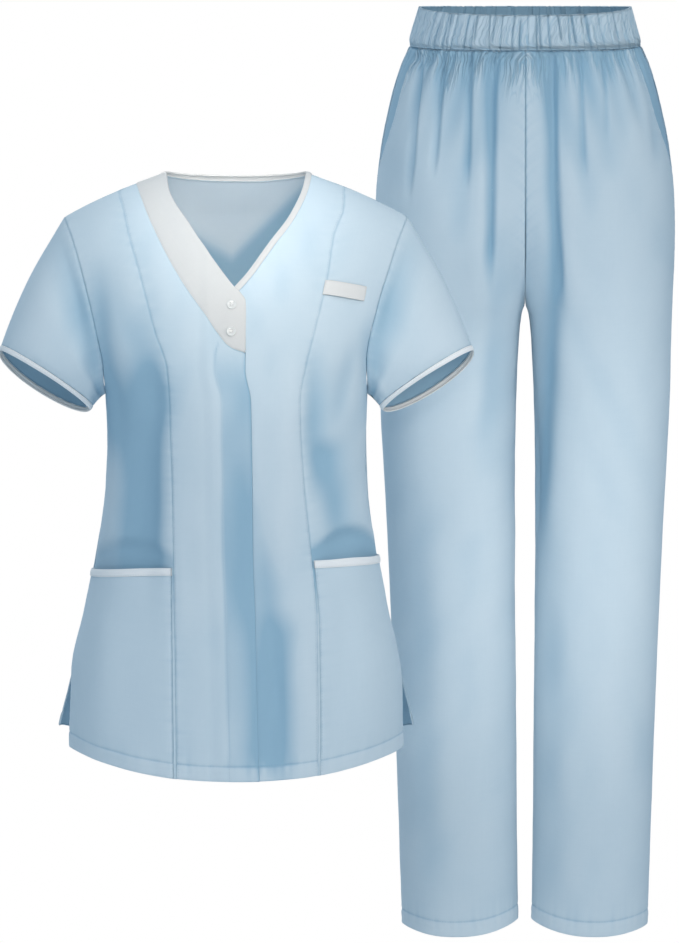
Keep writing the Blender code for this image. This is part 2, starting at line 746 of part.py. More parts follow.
def build_centre_fronts():
    """Centre fronts. The right one laps over the left one, and both have columns at the same places there."""
    half_gap = SEAM_GAP / 2.0
    princess_right = front_seam("princess_right", RIGHT, half_gap)
    princess_left = front_seam("princess_left", LEFT, -half_gap)
    lap = front_seam("lap_edge", 1, 0.0)
    underlap = front_seam("lap_edge", 1, -UNDERLAP)
    ramp = front_seam("lap_edge", 1, -UNDERLAP - LAP_RAMP[0])
    middle_x, underlap_x, flat_x, ramp_x = lap_columns()

    seam = shoulder_place(-SEAMS.at(0.0, "princess_right") + half_gap)
    corner = shoulder_place(-BAND_SHOULDER - 3.0 * SEAM_GAP)
    heads = [seam, corner] + [band_seam(x) for x in BAND_COLUMNS] + [band_seam(ramp_x)]
    end = (BAND_INNER.at(1.0, "x"), BAND_OUTER.at(1.0, "height") - 2.0 * SEAM_GAP)
    columns = spread(FRONT, princess_right, ramp, heads)
    columns += spread(FRONT, ramp, underlap, [band_seam(x) for x in (ramp_x, flat_x, underlap_x)])[1:]
    columns += spread(FRONT, underlap, lap, [band_seam(underlap_x), band_seam(middle_x), end])[1:]
    shell("front_centre_right", panel_rows(FRONT, columns, front_hem, lap_lift), blue_poplin)

    lap_x = BAND_INNER.at(1.0, "x")
    start = binding_seam(middle_x)
    heads = [(underlap_x, start[1] - UNDERLAP_CORNER_DROP), start, binding_seam(lap_x)]
    columns = spread(FRONT, underlap, lap, heads)
    heads = [binding_seam(x) for x in (lap_x, *BINDING_COLUMNS)]
    heads.append(beside(BINDING_INNER, 1.0, BINDING_WIDTH + SEAM_GAP))
    heads.append(shoulder_place(SEAMS.at(0.0, "princess_left") - half_gap))
    columns += spread(FRONT, lap, princess_left, heads)[1:]
    shell("front_centre_left", panel_rows(FRONT, columns, front_hem), blue_poplin)


def lap_columns():
    """Distances from the middle, at the top of the lap, of its middle, the underlap's edge, and the ramp's ends."""
    lap_x = BAND_INNER.at(1.0, "x")
    underlap_x = lap_x - UNDERLAP
    return lap_x - UNDERLAP / 2.0, underlap_x, underlap_x - LAP_RAMP[1], underlap_x - LAP_RAMP[0]


def build_back():
    """Back of the top, in one piece."""
    neck_half = binding_edge(1.0)[0]
    neck_height = BACK_NECK_HEIGHT - BINDING_WIDTH - SEAM_GAP
    neck = [back_neck(2.0 * i / BACK_NECK_COLUMNS - 1.0, neck_half + SEAM_GAP, neck_height)
            for i in range(BACK_NECK_COLUMNS + 1)]  # fmt: skip
    right, left = (
        [shoulder_place(side * mix(neck_half + SEAM_GAP, ARMHOLE.at(0.0, suffix), i / SHOULDER_COLUMNS))
         for i in range(1, SHOULDER_COLUMNS + 1)]
        for side, suffix in ((RIGHT, "right"), (LEFT, "left"))
    )  # fmt: skip
    columns = spread(BACK, body_edge(RIGHT), body_edge(LEFT), right[::-1] + neck + left)
    shell("back", panel_rows(BACK, columns, back_hem), blue_poplin)


def build_neck():
    """Wide band down the right of the neck, and narrow binding up the left and round the back."""
    middle_x, underlap_x, flat_x, ramp_x = lap_columns()
    stations = [share_where(lambda s: (BAND_OUTER.at(s, "x"),), x)
                for x in (*BAND_COLUMNS, ramp_x, flat_x, underlap_x, middle_x)]  # fmt: skip
    rows = []
    for share in (0.0, *stations, 1.0):
        row = []
        for j in range(BAND_STRIPS + 1):
            across = j / BAND_STRIPS
            x = mix(BAND_INNER.at(share, "x"), BAND_OUTER.at(share, "x"), across)
            height = mix(BAND_INNER.at(share, "height"), BAND_OUTER.at(share, "height"), across)
            height = min(height, shoulder_place(x)[1])
            row.append(TORSO_FORM.wall_at(FRONT, x, height, lap_lift(x, height)))
        rows.append(row)
    shell("neck_band", rows, white_poplin)

    lap_x = BAND_INNER.at(1.0, "x")
    stations = [share_where(binding_edge, x) for x in (middle_x, lap_x, *BINDING_COLUMNS)]
    rows = []
    for share in (*stations, 1.0):
        places = (beside(BINDING_INNER, share, 0.0), binding_edge(share))
        rows.append([TORSO_FORM.wall_at(FRONT, *place) for place in places])
    edge_half, seam_half = BINDING_INNER.at(1.0, "x"), binding_edge(1.0)[0]
    for i in range(1, BACK_NECK_COLUMNS + 1):
        share = 1.0 - 2.0 * i / BACK_NECK_COLUMNS
        edge = back_neck(share, edge_half, BACK_NECK_HEIGHT)
        seam = back_neck(share, seam_half, BACK_NECK_HEIGHT - BINDING_WIDTH)
        rows.append([TORSO_FORM.wall_at(BACK, *place) for place in (edge, seam)])
    shell("neck_binding", rows, white_poplin)


def armhole_loop(side):
    """Walls round the armhole: from the underarm up the front to the shoulder, and down the back."""
    tip = shoulder_place(ARMHOLE.at(0.0, "right" if side == RIGHT else "left"))[1]
    heights = [UNDERARM, *UNDERARM_ROWS]
    heights += [mix(UNDERARM_ROWS[-1], tip, row) for row in CHEST_ROWS]
    loop = [TORSO_FORM.wall(FRONT, TORSO_FORM.edge_angle(side, h), h) for h in heights]
    loop += [TORSO_FORM.wall(BACK, TORSO_FORM.edge_angle(side, h), h) for h in heights[-2:0:-1]]
    return loop


def cuff_point(side, turn):
    """Point of the sleeve's opening. Turn 0 is at the underarm, a half turn at the outer corner."""
    outer = Vector((side * CUFF_OUTER[0], 0.0, CUFF_OUTER[1]))
    inner = Vector((side * CUFF_INNER[0], 0.0, CUFF_INNER[1]))
    run = (outer - inner) / 2.0
    out_of_sleeve = Vector((side * -run.z, 0.0, side * run.x)).normalized() * -1.0
    tilt = (CUFF_FRONT_TILT if math.sin(turn) > 0.0 else CUFF_BACK_TILT) * abs(math.sin(turn))
    depth = Vector((0.0, -CUFF_HALF_DEPTH * math.sin(turn), 0.0))
    return (outer + inner) / 2.0 - run * math.cos(turn) + depth + out_of_sleeve * tilt


def build_sleeve(side, suffix):
    """Set-in sleeve and the band round its opening."""
    armhole = armhole_loop(side)
    count = len(armhole)
    turns = [2.0 * math.pi * i / count for i in range(count)]
    cuffs = [cuff_point(side, turn) for turn in turns]

    def outer_point(i, share):
        start, _ = armhole[i % count]
        end = cuffs[i % count]
        turn = turns[i % count]
        away = (end - start).normalized()
        facing = (armhole[i % count][0] - armhole[i % count][1]).normalized()
        away -= facing * min(0.0, away.dot(facing))
        start = start + away.normalized() * SLEEVE_GAP
        up_out = Vector((side * 0.9, 0.0, 0.45)) * (SLEEVE_BULGE_TOP * max(0.0, -math.cos(turn)))
        aside = Vector((0.0, -1.0, 0.0)) * (SLEEVE_BULGE_SIDE * math.sin(turn))
        bend = (start + end) / 2.0 + up_out + aside
        rest = 1.0 - share
        return start * rest * rest + bend * 2.0 * share * rest + end * share * share

    def wall(i, share, thickness):
        around = outer_point(i + 1, share) - outer_point(i - 1, share)
        along = outer_point(i, min(1.0, share + 0.02)) - outer_point(i, max(0.0, share - 0.02))
        normal = along.cross(around).normalized() * side
        if share == 0.0:
            body_normal = (armhole[i % count][0] - armhole[i % count][1]).normalized()
            agree = smooth_step((normal.dot(body_normal) + SLEEVE_TURNED_IN) / 0.3)
            normal = normal.lerp(body_normal, agree).normalized()
        outer = outer_point(i, share)
        return outer, outer - normal * thickness

    rows = [[wall(i, share, CLOTH) for i in range(count)] for share in SLEEVE_ROWS]
    shell(f"sleeve_{suffix}", rows, blue_poplin, closed=True)

    end_walls = rows[-1]
    band = []
    for distance in (SEAM_GAP, SEAM_GAP + CUFF_BAND_WIDTH):
        row = []
        for i, (outer, inner) in enumerate(end_walls):
            run = (outer_point(i, 1.0) - outer_point(i, 0.98)).normalized()
            normal = (outer - inner).normalized()
            shifted = outer + run * distance + normal * (BINDING_CLOTH - CLOTH) / 2.0
            row.append((shifted, shifted - normal * BINDING_CLOTH))
        band.append(row)
    shell(f"cuff_band_{suffix}", band, white_poplin, closed=True)


def build_chest_tab():
    """Small strap on the left chest, sewn down at both ends and slightly proud between them."""
    columns, rows_across = 6, 2
    tilt = math.radians(CHEST_TAB_TILT)
    length, width = CHEST_TAB_SIZE
    rows = []
    for j in range(rows_across + 1):
        row = []
        for i in range(columns + 1):
            along, across = (i / columns - 0.5) * length, (j / rows_across - 0.5) * width
            x = CHEST_TAB_CENTRE[0] + along * math.cos(tilt) - across * math.sin(tilt)
            height = CHEST_TAB_CENTRE[1] + along * math.sin(tilt) + across * math.cos(tilt)
            bow = CHEST_TAB_BOW * (1.0 - (2.0 * along / length) ** 4)
            lift = SEAM_GAP + CHEST_TAB_CLOTH + bow
            row.append(TORSO_FORM.wall_at(FRONT, x, height, lift, CHEST_TAB_CLOTH))
        rows.append(row)
    shell("chest_tab", rows, white_poplin)


def build_button(name, x, height):
    """Four-hole button with a raised rim, turned about the cloth's normal."""
    outer, inner = TORSO_FORM.wall_at(FRONT, x, height, lap_lift(x, height) + SEAM_GAP)
    facing = (outer - inner).normalized()
    top, dish, soft = BUTTON_THICKNESS, BUTTON_THICKNESS - BUTTON_DISH, 0.0004
    profile = [
        (0.0, dish),
        (BUTTON_RADIUS - 2.0 * BUTTON_RIM, dish),
        (BUTTON_RADIUS - BUTTON_RIM, top),
        (BUTTON_RADIUS - soft, top),
        (BUTTON_RADIUS, top - soft),
        (BUTTON_RADIUS, soft),
        (BUTTON_RADIUS - soft, 0.0),
        (0.0, 0.0),
    ]
    mesh = bpy.data.meshes.new(name)
    mesh.from_pydata([(r, 0.0, z) for r, z in profile], [(i, i + 1) for i in range(len(profile) - 1)], [])
    mesh.materials.append(white_button(name))
    button = bpy.data.objects.new(name, mesh)
    PARTS.objects.link(button)
    turned = button.modifiers.new("turned", "SCREW")
    turned.steps = turned.render_steps = BUTTON_SIDES
    turned.use_merge_vertices = True
    turned.merge_threshold = 0.00005
    turned.use_smooth_shade = False

    cutter_mesh = bpy.data.meshes.new(f"{name}_holes")
    bm = bmesh.new()
    for turn in (0.25, 0.75, 1.25, 1.75):
        place = Vector((math.cos(turn * math.pi), math.sin(turn * math.pi), 0.0)) * BUTTON_HOLE_PITCH / math.sqrt(2.0)
        place.z = BUTTON_THICKNESS / 2.0
        bmesh.ops.create_cone(bm, cap_ends=True, segments=6, radius1=BUTTON_HOLE_RADIUS,
                              radius2=BUTTON_HOLE_RADIUS, depth=2.0 * BUTTON_THICKNESS,
                              matrix=Matrix.Translation(place))  # fmt: skip
    bm.to_mesh(cutter_mesh)
    bm.free()
    cutter = bpy.data.objects.new(f"{name}_holes", cutter_mesh)
    CUTTERS.objects.link(cutter)
    cutter.hide_render = True
    cutter.display_type = "WIRE"
    holes = button.modifiers.new("holes", "BOOLEAN")
    holes.object = cutter
    for piece in (button, cutter):
        piece.rotation_mode = "QUATERNION"
        piece.rotation_quaternion = facing.to_track_quat("Z", "Y")
        piece.location = outer


# ---- trousers


def placed(pair, side):
    """Outer and inner point of a leg on its own side, where the trousers stand."""
    return tuple(Vector((side * point.x, point.y, point.z)) + TROUSERS_PLACE for point in pair)


def mouth_angle(face, height):
    """Angle at which a leg's panel starts: the side seam, or on the front the slanted pocket mouth."""
    return math.radians(POCKET_MOUTH.at(height, "turn")) if face == FRONT else 0.0


def build_leg(face, side, name):
    """Front or back of one leg, from the hem to the waist seam, with twice the columns where it is gathered."""
    form = TROUSERS_FORM
    coarse = GATHERS_PER_QUARTER

    def row_at(columns, height_of):
        row = []
        for i in range(columns, -1, -1):
            height = height_of(i / columns)
            angle = mix(mouth_angle(face, height), form.centre_angle(height), i / columns)
            row.append(placed(form.wall(face, angle, height), side))
        return row

    rows = [row_at(coarse, lambda s, r=r: mix(form.hem(s * math.pi), KNEE_TO_CROTCH, r)) for r in LEG_ROWS]
    rows += [row_at(coarse, lambda s, h=h: h) for h in CROTCH_ROWS + HIP_ROWS]
    rows += [row_at(2 * coarse, lambda s, h=h: h) for h in GATHERED_ROWS]
    shell(name, rows, blue_poplin)


def build_pocket_facing(side, name):
    """Cloth behind the slanted pocket mouth: open to view up to the mouth, then behind the front's own points."""
    form = TROUSERS_FORM

    def front_wall(height, share):
        angle = mix(mouth_angle(FRONT, height), form.centre_angle(height), share)
        return form.wall(FRONT, angle, height)

    coarse = 1.0 / GATHERS_PER_QUARTER
    foot, *hips = HIP_ROWS[1:]
    first, second = front_wall(foot, 0.0), front_wall(foot, coarse)
    rows = [[between(first, second, share) for share in FACING_FOOT_SHARES]]
    for height in (*hips, *GATHERED_ROWS):
        seam = form.wall(FRONT, FACING_SEAM_TURN, height)
        first, second = front_wall(height, 0.0), front_wall(height, coarse)
        middle = between(first, second, 0.5) if height in hips else front_wall(height, coarse / 2.0)
        rows.append([seam, between(seam, first, 0.5), first, middle, second])
    rows = moved_out(rows, -CLOTH - FACING_GAP, CLOTH)
    shell(name, [[placed(pair, side) for pair in row[::-1]] for row in rows], blue_poplin)


def build_waistband():
    """Elastic casing round the waist, gathered on its outer side over a plain inner side."""
    form = TROUSERS_FORM
    columns = 2 * BAND_GATHERS
    rows = []
    for share in (0.0, 0.5, 1.0):
        row = []
        for i in range(columns):
            turn = 2.0 * math.pi * i / columns
            face = FRONT if turn < math.pi else BACK
            angle = turn if face == FRONT else 2.0 * math.pi - turn
            top = BAND_TOP_SIDE - BAND_TOP_DIP * abs(math.sin(turn))
            height = mix(SEAM_GAP, top, share)
            normal = form.normal(face, angle, height)
            outer = form.bare_point(face, angle, height)
            swell = 0.6 + 0.4 * math.sin(i * i * 0.7)
            rise = BAND_GATHER_DEPTH * swell * (1 if i % 2 else 0)
            pair = (outer + normal * rise, outer - normal * BAND_CLOTH)
            row.append(placed(pair, LEFT))
        rows.append(row)
    shell("waistband", rows, blue_poplin, closed=True)


def build_top():
    """All pieces of the top."""
    build_centre_fronts()
    build_back()
    build_neck()
    for side, suffix in ((RIGHT, "right"), (LEFT, "left")):
        build_side_front(side, suffix)
        build_sleeve(side, suffix)
    build_chest_tab()
    for name, place in BUTTON_PLACES.items():
        build_button(name, *place)


def build_trousers():
    """All pieces of the trousers."""
    for side, suffix in ((RIGHT, "right"), (LEFT, "left")):
        build_leg(FRONT, side, f"front_leg_{suffix}")
        build_leg(BACK, side, f"back_leg_{suffix}")
        build_pocket_facing(side, f"pocket_facing_{suffix}")
    build_waistband()


for leftover in list(bpy.data.objects):
    bpy.data.objects.remove(leftover)
PARTS = bpy.data.collections.new("medical_scrubs")
CUTTERS = bpy.data.collections.new("medical_scrubs_cutters")
for collection in (PARTS, CUTTERS):
    bpy.context.scene.collection.children.link(collection)
build_top()
build_trousers()
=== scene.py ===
"""Looks of the medical scrubs: a short-sleeved top with a V neck, and trousers with a gathered waistband.

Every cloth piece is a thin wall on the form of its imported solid, in metres, with +Z up and the wearer facing -Y.
Right and left are the wearer's: right is -X. The trousers have sizes of their own, measured from the middle of
their waist seam.
"""

import sys
import logging
import math
from collections.abc import Callable, Sequence
from dataclasses import dataclass
from enum import Enum
from functools import partial

import bmesh
import bpy
import numpy as np
from mathutils import Matrix, Vector


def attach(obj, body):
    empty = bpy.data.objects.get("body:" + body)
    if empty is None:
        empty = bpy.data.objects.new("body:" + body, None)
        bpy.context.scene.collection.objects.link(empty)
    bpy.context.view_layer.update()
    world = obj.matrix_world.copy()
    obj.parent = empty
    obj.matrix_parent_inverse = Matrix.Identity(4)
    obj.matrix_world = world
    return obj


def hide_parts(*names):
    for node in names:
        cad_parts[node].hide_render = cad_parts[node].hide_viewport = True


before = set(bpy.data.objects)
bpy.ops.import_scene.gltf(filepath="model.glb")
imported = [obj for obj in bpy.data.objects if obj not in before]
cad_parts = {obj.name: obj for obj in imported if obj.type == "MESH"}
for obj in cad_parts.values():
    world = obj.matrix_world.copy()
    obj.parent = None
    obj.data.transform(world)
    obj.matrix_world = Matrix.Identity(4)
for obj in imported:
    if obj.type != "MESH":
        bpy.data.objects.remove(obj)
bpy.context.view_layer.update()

LOG = logging.getLogger("medical_scrubs")

Array = np.ndarray
Values = Array | float
Line = tuple[Array, Array]
Point = tuple[float, float, float]
Edge = Callable[[Array], Array]
Object = bpy.types.Object
Socket = bpy.types.NodeSocket

# ---- cloth
WALL = 0.001
SOLID_WALL = 0.0015
SEAM_GAP = 0.0003
VISIBLE_GAP = 0.00004
# Depth of a fold at which its painted shade is full, and height of a ridge at which its painted highlight is full.
HOLLOW_DEPTH = 0.006
# How much a seam's dip adds to the painted shade, so that seams show as darker lines.
SEAM_SHADE = 6.0

# ---- top
UNDERARM = -0.2376
VENT_TOP = -0.5434
FRONT_HEM = (-0.657, 0.031)
BACK_HEM = (-0.64, 0.03)
HEM_HALF_WIDTH = 0.184
HEM_CURVE = 2.3
VENT_ANGLE = 3.2
SHOULDER_DROP = 0.16
SHOULDER_ROUND = 1.7
BAND_SHOULDER = 0.11
BINDING_WIDTH = 0.0065
BACK_NECK_HEIGHT = -0.002
BACK_NECK_CURVE = 3
UNDERLAP = 0.033
UNDERLAP_CORNER_DROP = 0.013
LAP_RAMP = (0.02, 0.006)
LAP_LIFT = SOLID_WALL + 0.0009
POCKET_BAND_WIDTH = 0.0085
POCKET_LAYER = SOLID_WALL + SEAM_GAP
HEM_STITCH = 0.0165

# ---- sleeves
CUFF_OUTER = (0.258, -0.187)
CUFF_INNER = (0.1576, -0.2535)
CUFF_HALF_DEPTH = 0.039
CUFF_TILTS = (-0.007, 0.017)
SLEEVE_BULGES = (0.01, 0.008)
CUFF_BAND_WIDTH = 0.006

# ---- trousers
TROUSERS_PLACE = np.array((0.3182, 0.2, 0.133))
BAND_TOP_SIDE = 0.0415
BAND_TOP_DIP = 0.0045
BAND_WALL = 0.0022
LEG_HEM = (-0.9705, 0.0025, 0.0132)
KNEE_TO_CROTCH = -0.31
CROTCH_TO_WAIST = (-0.2, -0.03)
GATHERS_PER_QUARTER = 12
GATHER_DEPTH = 0.0022
GATHER_REACH = (0.03, 0.075)

# ---- heights over a hem at which its cloth has rows, and shares of the way up to a shoulder
HEM_STEPS = np.array((0.0, 0.5, 1.2, 2.4, 4.5, 7.5, 10.5, 13.0, 14.8, 15.8, 16.5, 17.2, 18.2, 20.0, 23.0)) / 1000
SHOULDER_ROWS = (-0.2345, -0.229, -0.22, -0.208, -0.192)
SHOULDER_SHARES = (0.14, 0.32, 0.5, 0.68, 0.84, 0.95, 1.0)


class Face(Enum):
    """Side of a garment that a panel belongs to."""

    FRONT = -1
    BACK = 1


class Side(Enum):
    """Side of the wearer."""

    RIGHT = -1
    LEFT = 1

    @property
    def word(self) -> str:
        """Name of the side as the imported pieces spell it."""
        return self.name.lower()


class SizeTable:
    """Sizes down a garment, read smoothly between the rows and never past the rows' own values."""

    def __init__(self, columns: Sequence[str], rows: Sequence[Sequence[float]]) -> None:
        """Sorts the rows by their first value, the key, and works out the slopes.

        Args:
            columns: Names of the values after the key.
            rows: Key and values of each row.
        """
        table = np.array(sorted(rows), dtype=float)
        self.keys = table[:, 0]
        self.values = {name: table[:, i + 1] for i, name in enumerate(columns)}
        self.slopes = {name: self._slopes(values) for name, values in self.values.items()}

    def _slopes(self, values: Array) -> Array:
        """Slope at every row that keeps the curve from overshooting."""
        rise = np.diff(values) / np.diff(self.keys)
        before, after = np.concatenate(([0.0], rise)), np.concatenate((rise, [0.0]))
        both = before * after
        inner = np.where(both > 0.0, 2.0 * both / np.where(both > 0.0, before + after, 1.0), 0.0)
        inner[0], inner[-1] = rise[0], rise[-1]
        return inner

    def at(self, key: Values, name: str) -> Array:
        """Value of the named column at one or many keys."""
        keys, values, slopes = self.keys, self.values[name], self.slopes[name]
        place = np.clip(np.asarray(key, dtype=float), keys[0], keys[-1])
        i = np.clip(np.searchsorted(keys, place, side="right") - 1, 0, len(keys) - 2)
        step = keys[i + 1] - keys[i]
        t = (place - keys[i]) / step
        rest = 1.0 - t
        blend = values[i] * (1.0 + 2.0 * t) * rest * rest + values[i + 1] * t * t * (3.0 - 2.0 * t)
        return blend + slopes[i] * step * t * rest * rest - slopes[i + 1] * step * t * t * rest


def route(points: Sequence[tuple[float, float]]) -> SizeTable:
    """Table of a curve through (x, height) points, keyed by the share of its length."""
    lengths = [0.0]
    for start, end in zip(points, points[1:]):
        lengths.append(lengths[-1] + math.dist(start, end))
    return SizeTable(("x", "height"), [(s / lengths[-1], *p) for s, p in zip(lengths, points)])


# Body of the top. Half widths of front and back part at the side vents.
TORSO = SizeTable(("half_front", "half_back", "front", "back", "square"), [
    (0.0, 0.21, 0.21, 0.074, 0.08, 2.1),
    (-0.0466, 0.2, 0.2, 0.089, 0.093, 2.1),
    (-0.12, 0.184, 0.184, 0.107, 0.103, 2.15),
    (-0.185, 0.164, 0.164, 0.121, 0.103, 2.2),
    (-0.2376, 0.1438, 0.1438, 0.123, 0.099, 2.2),
    (-0.2871, 0.1418, 0.1418, 0.118, 0.095, 2.2),
    (-0.3421, 0.1437, 0.1437, 0.114, 0.094, 2.2),
    (-0.4103, 0.1534, 0.1534, 0.115, 0.1, 2.25),
    (-0.4785, 0.1664, 0.1664, 0.121, 0.11, 2.3),
    (-0.5434, 0.1797, 0.1803, 0.128, 0.119, 2.3),
    (-0.625, 0.183, 0.1992, 0.134, 0.126, 2.3),
    (-0.66, 0.1835, 0.203, 0.135, 0.128, 2.3),
])

# Armhole seam: its distance from the middle on each side, and how far round the body it lies, in degrees.
ARMHOLE = SizeTable(("right", "left", "turn"), [
    (-0.0466, 0.1881, 0.187, 34.0),
    (-0.073, 0.178, 0.1765, 33.0),
    (-0.105, 0.169, 0.166, 31.0),
    (-0.143, 0.1612, 0.1548, 30.0),
    (-0.175, 0.1555, 0.1485, 27.0),
    (-0.205, 0.15, 0.1448, 20.0),
    (-0.225, 0.146, 0.1436, 11.0),
    (-0.2376, 0.1438, 0.1438, 0.0),
])

SHOULDER = SizeTable(("height",), [
    (0.0, 0.03),
    (0.04, 0.023),
    (0.0778, 0.0038),
    (0.1287, -0.0158),
    (0.1881, -0.0452),
    (0.22, -0.07),
])

# Seams of the fronts: princess seams right and left, and the edge of the front that laps over.
SEAMS = SizeTable(("princess_right", "princess_left", "lap_edge"), [
    (-0.01, 0.1287, 0.1186, 0.0106),
    (-0.019, 0.1287, 0.1186, 0.0106),
    (-0.031, 0.125, 0.1183, 0.0106),
    (-0.062, 0.1178, 0.1073, 0.0106),
    (-0.106, 0.105, 0.1003, 0.0106),
    (-0.168, 0.0886, 0.085, 0.0106),
    (-0.205, 0.0765, 0.0765, 0.01),
    (-0.24, 0.0745, 0.0699, 0.016),
    (-0.321, 0.0705, 0.0735, 0.0174),
    (-0.413, 0.0682, 0.083, 0.0188),
    (-0.484, 0.0672, 0.0885, 0.0216),
    (-0.565, 0.0659, 0.0893, 0.0234),
    (-0.654, 0.065, 0.0896, 0.0256),
])

# Wide neck band on the right: neckline and front edge, and the seam with the front.
BAND_INNER = route([
    (-0.0768, 0.0043), (-0.074, -0.0128), (-0.0504, -0.05), (-0.023, -0.089), (-0.002, -0.1157),
    (0.005, -0.1222), (0.0104, -0.131), (0.011, -0.144), (0.0106, -0.166), (0.0104, -0.1835)
])
BAND_OUTER = route([
    (-BAND_SHOULDER, -0.008), (-0.0959, -0.043), (-0.0778, -0.079), (-0.0595, -0.11),
    (-0.0413, -0.1355), (-0.0307, -0.15), (-0.0199, -0.166), (-0.0064, -0.1808), (0.0096, -0.1868)
])

# Narrow binding on the left: neckline, from under the lapping front up to the shoulder.
BINDING_INNER = route([
    (-0.016, -0.133), (-0.0017, -0.1157), (0.0129, -0.0995), (0.0366, -0.0678), (0.0585, -0.04),
    (0.0732, -0.0107), (0.0768, 0.0043)
])

# Level of the pocket mouths round the front.
MOUTH = SizeTable(("height",), [
    (-0.16, -0.4316),
    (-0.07, -0.4245),
    (0.03, -0.4245),
    (0.084, -0.4166),
    (0.16, -0.4164),
])

# One leg of the trousers, up to the waist: past the crotch its inner side crosses the middle and is cut there.
LEG = SizeTable(("outer", "inner", "front", "back", "square"), [
    (0.042, 0.1164, -0.1164, 0.092, 0.088, 2.2),
    (0.0, 0.1284, -0.1284, 0.1, 0.095, 2.25),
    (-0.0226, 0.1377, -0.132, 0.104, 0.101, 2.3),
    (-0.0655, 0.1494, -0.127, 0.109, 0.111, 2.35),
    (-0.1172, 0.1596, -0.11, 0.112, 0.122, 2.4),
    (-0.171, 0.1648, -0.08, 0.112, 0.127, 2.4),
    (-0.206, 0.1655, -0.05, 0.11, 0.126, 2.4),
    (-0.235, 0.165, -0.027, 0.107, 0.122, 2.4),
    (-0.255, 0.1642, -0.014, 0.104, 0.119, 2.4),
    (-0.27, 0.1634, -0.006, 0.102, 0.116, 2.4),
    (-0.28, 0.163, -0.002, 0.1005, 0.114, 2.4),
    (-0.287, 0.1627, -0.0003, 0.0995, 0.1125, 2.4),
    (-0.289, 0.1626, 0.0008, 0.099, 0.112, 2.4),
    (-0.297, 0.1623, 0.0036, 0.0975, 0.11, 2.38),
    (-0.327, 0.1613, 0.0068, 0.094, 0.105, 2.35),
    (-0.3955, 0.1597, 0.0098, 0.087, 0.095, 2.3),
    (-0.4714, 0.1558, 0.0111, 0.08, 0.086, 2.3),
    (-0.558, 0.1513, 0.0113, 0.074, 0.079, 2.25),
    (-0.723, 0.1443, 0.0099, 0.066, 0.071, 2.2),
    (-0.842, 0.14, 0.009, 0.063, 0.067, 2.2),
    (-0.974, 0.1355, 0.0074, 0.06, 0.063, 2.2),
])

# Slanted pocket mouth: how far round from the side seam the front is cut away, in degrees.
POCKET_MOUTH = SizeTable(("turn",), [
    (0.0, 22.0),
    (-0.0655, 20.5),
    (-0.09, 18.0),
    (-0.115, 12.0),
    (-0.145, 0.0),
])


def smooth_step(value: Array) -> Array:
    """Soft rise from 0 to 1 while the value goes from 0 to 1."""
    value = np.clip(value, 0.0, 1.0)
    return value * value * (3.0 - 2.0 * value)


def mix(start: Values, end: Values, share: Values) -> Array:
    """Value that lies the given share of the way from start to end."""
    return start + (end - start) * share


def signed_power(value: Array, power: Array) -> Array:
    """Power of the size of the value, with the value's own sign."""
    return np.copysign(np.abs(value) ** power, value)


def bell(distance: Array, width: Values) -> Array:
    """Soft hump of height 1 where the distance is 0."""
    return np.exp(-((distance / width) ** 2))


def unit(vectors: Array) -> Array:
    """Vectors of length 1 that point the same ways."""
    return vectors / np.maximum(np.linalg.norm(vectors, axis=-1, keepdims=True), 1e-12)


def ladder(start: Values, end: Values, count: int) -> list[Values]:
    """Even steps from start to end, without start itself."""
    return [mix(start, end, i / count) for i in range(1, count + 1)]


def crowded(count: int, crowd: float = 0.85) -> Array:
    """Shares from 0 to 1 in a number of steps that shrink near both ends: not at all for a crowd of 0."""
    even = np.linspace(0.0, 1.0, count + 1)
    return mix(even, (1.0 - np.cos(np.pi * even)) / 2.0, crowd)


@dataclass(frozen=True)
class Crease:
    """Soft trough (depth below 0) or ridge in the cloth, along a line that may be bowed.

    Its values are in thousandths, apart from steepness and fade. The line runs from (across_1, up_1) to
    (across_2, up_2). Steepness narrows one flank, and fade is the share of its length that an end dies away in.
    """

    across_1: float
    up_1: float
    across_2: float
    up_2: float
    width: float
    depth: float
    steepness: float = 1.0
    bow: float = 0.0
    fade: float = 0.25

    def height(self, across: Array, up: Array) -> Array:
        """Height of the crease over the smooth cloth.

        Args:
            across: Places across the cloth, in the crease's own measure.
            up: Places up the cloth.

        Returns:
            Height at each place, in metres.
        """
        run_x, run_y = (self.across_2 - self.across_1) / 1000.0, (self.up_2 - self.up_1) / 1000.0
        length = math.hypot(run_x, run_y)
        dx, dy = across - self.across_1 / 1000.0, up - self.up_1 / 1000.0
        share = (dx * run_x + dy * run_y) / length**2
        away = (dx * run_y - dy * run_x) / length - self.bow / 1000.0 * 4.0 * share * (1.0 - share)
        ends = smooth_step(share / self.fade + 0.5) * smooth_step((1.0 - share) / self.fade + 0.5)
        width = self.width / 1000.0
        return self.depth / 1000.0 * ends * bell(away, np.where(away > 0.0, width, width / self.steepness))


def creased(rows: Sequence[Sequence[float]], across: Array, up: Array) -> Array:
    """Height of all creases of a table together, at places across and up the cloth."""
    return sum(Crease(*row).height(across, up) for row in rows)


def rumple(across: Array, up: Array, size: float, seed: int) -> Array:
    """Faint unevenness of cloth that has been worn and pressed.

    Args:
        across: Places across the cloth, in metres.
        up: Places up the cloth, in metres.
        size: Greatest height, in metres.
        seed: Makes the unevenness of one piece different from another's.

    Returns:
        Height at each place.
    """
    draw = np.random.RandomState(seed)
    total = np.zeros(np.broadcast(across, up).shape)
    for _ in range(9):
        lean, length = draw.uniform(-0.9, 0.9), draw.uniform(0.035, 0.13)
        wave = (across * math.cos(lean) + up * math.sin(lean)) / length
        fade = np.sin((up * math.cos(lean * 2.0) + across) / draw.uniform(0.1, 0.22) + draw.uniform(0.0, 6.3))
        total += np.sin(2.0 * np.pi * wave + draw.uniform(0.0, 6.3)) * fade
    return total * size / 3.0


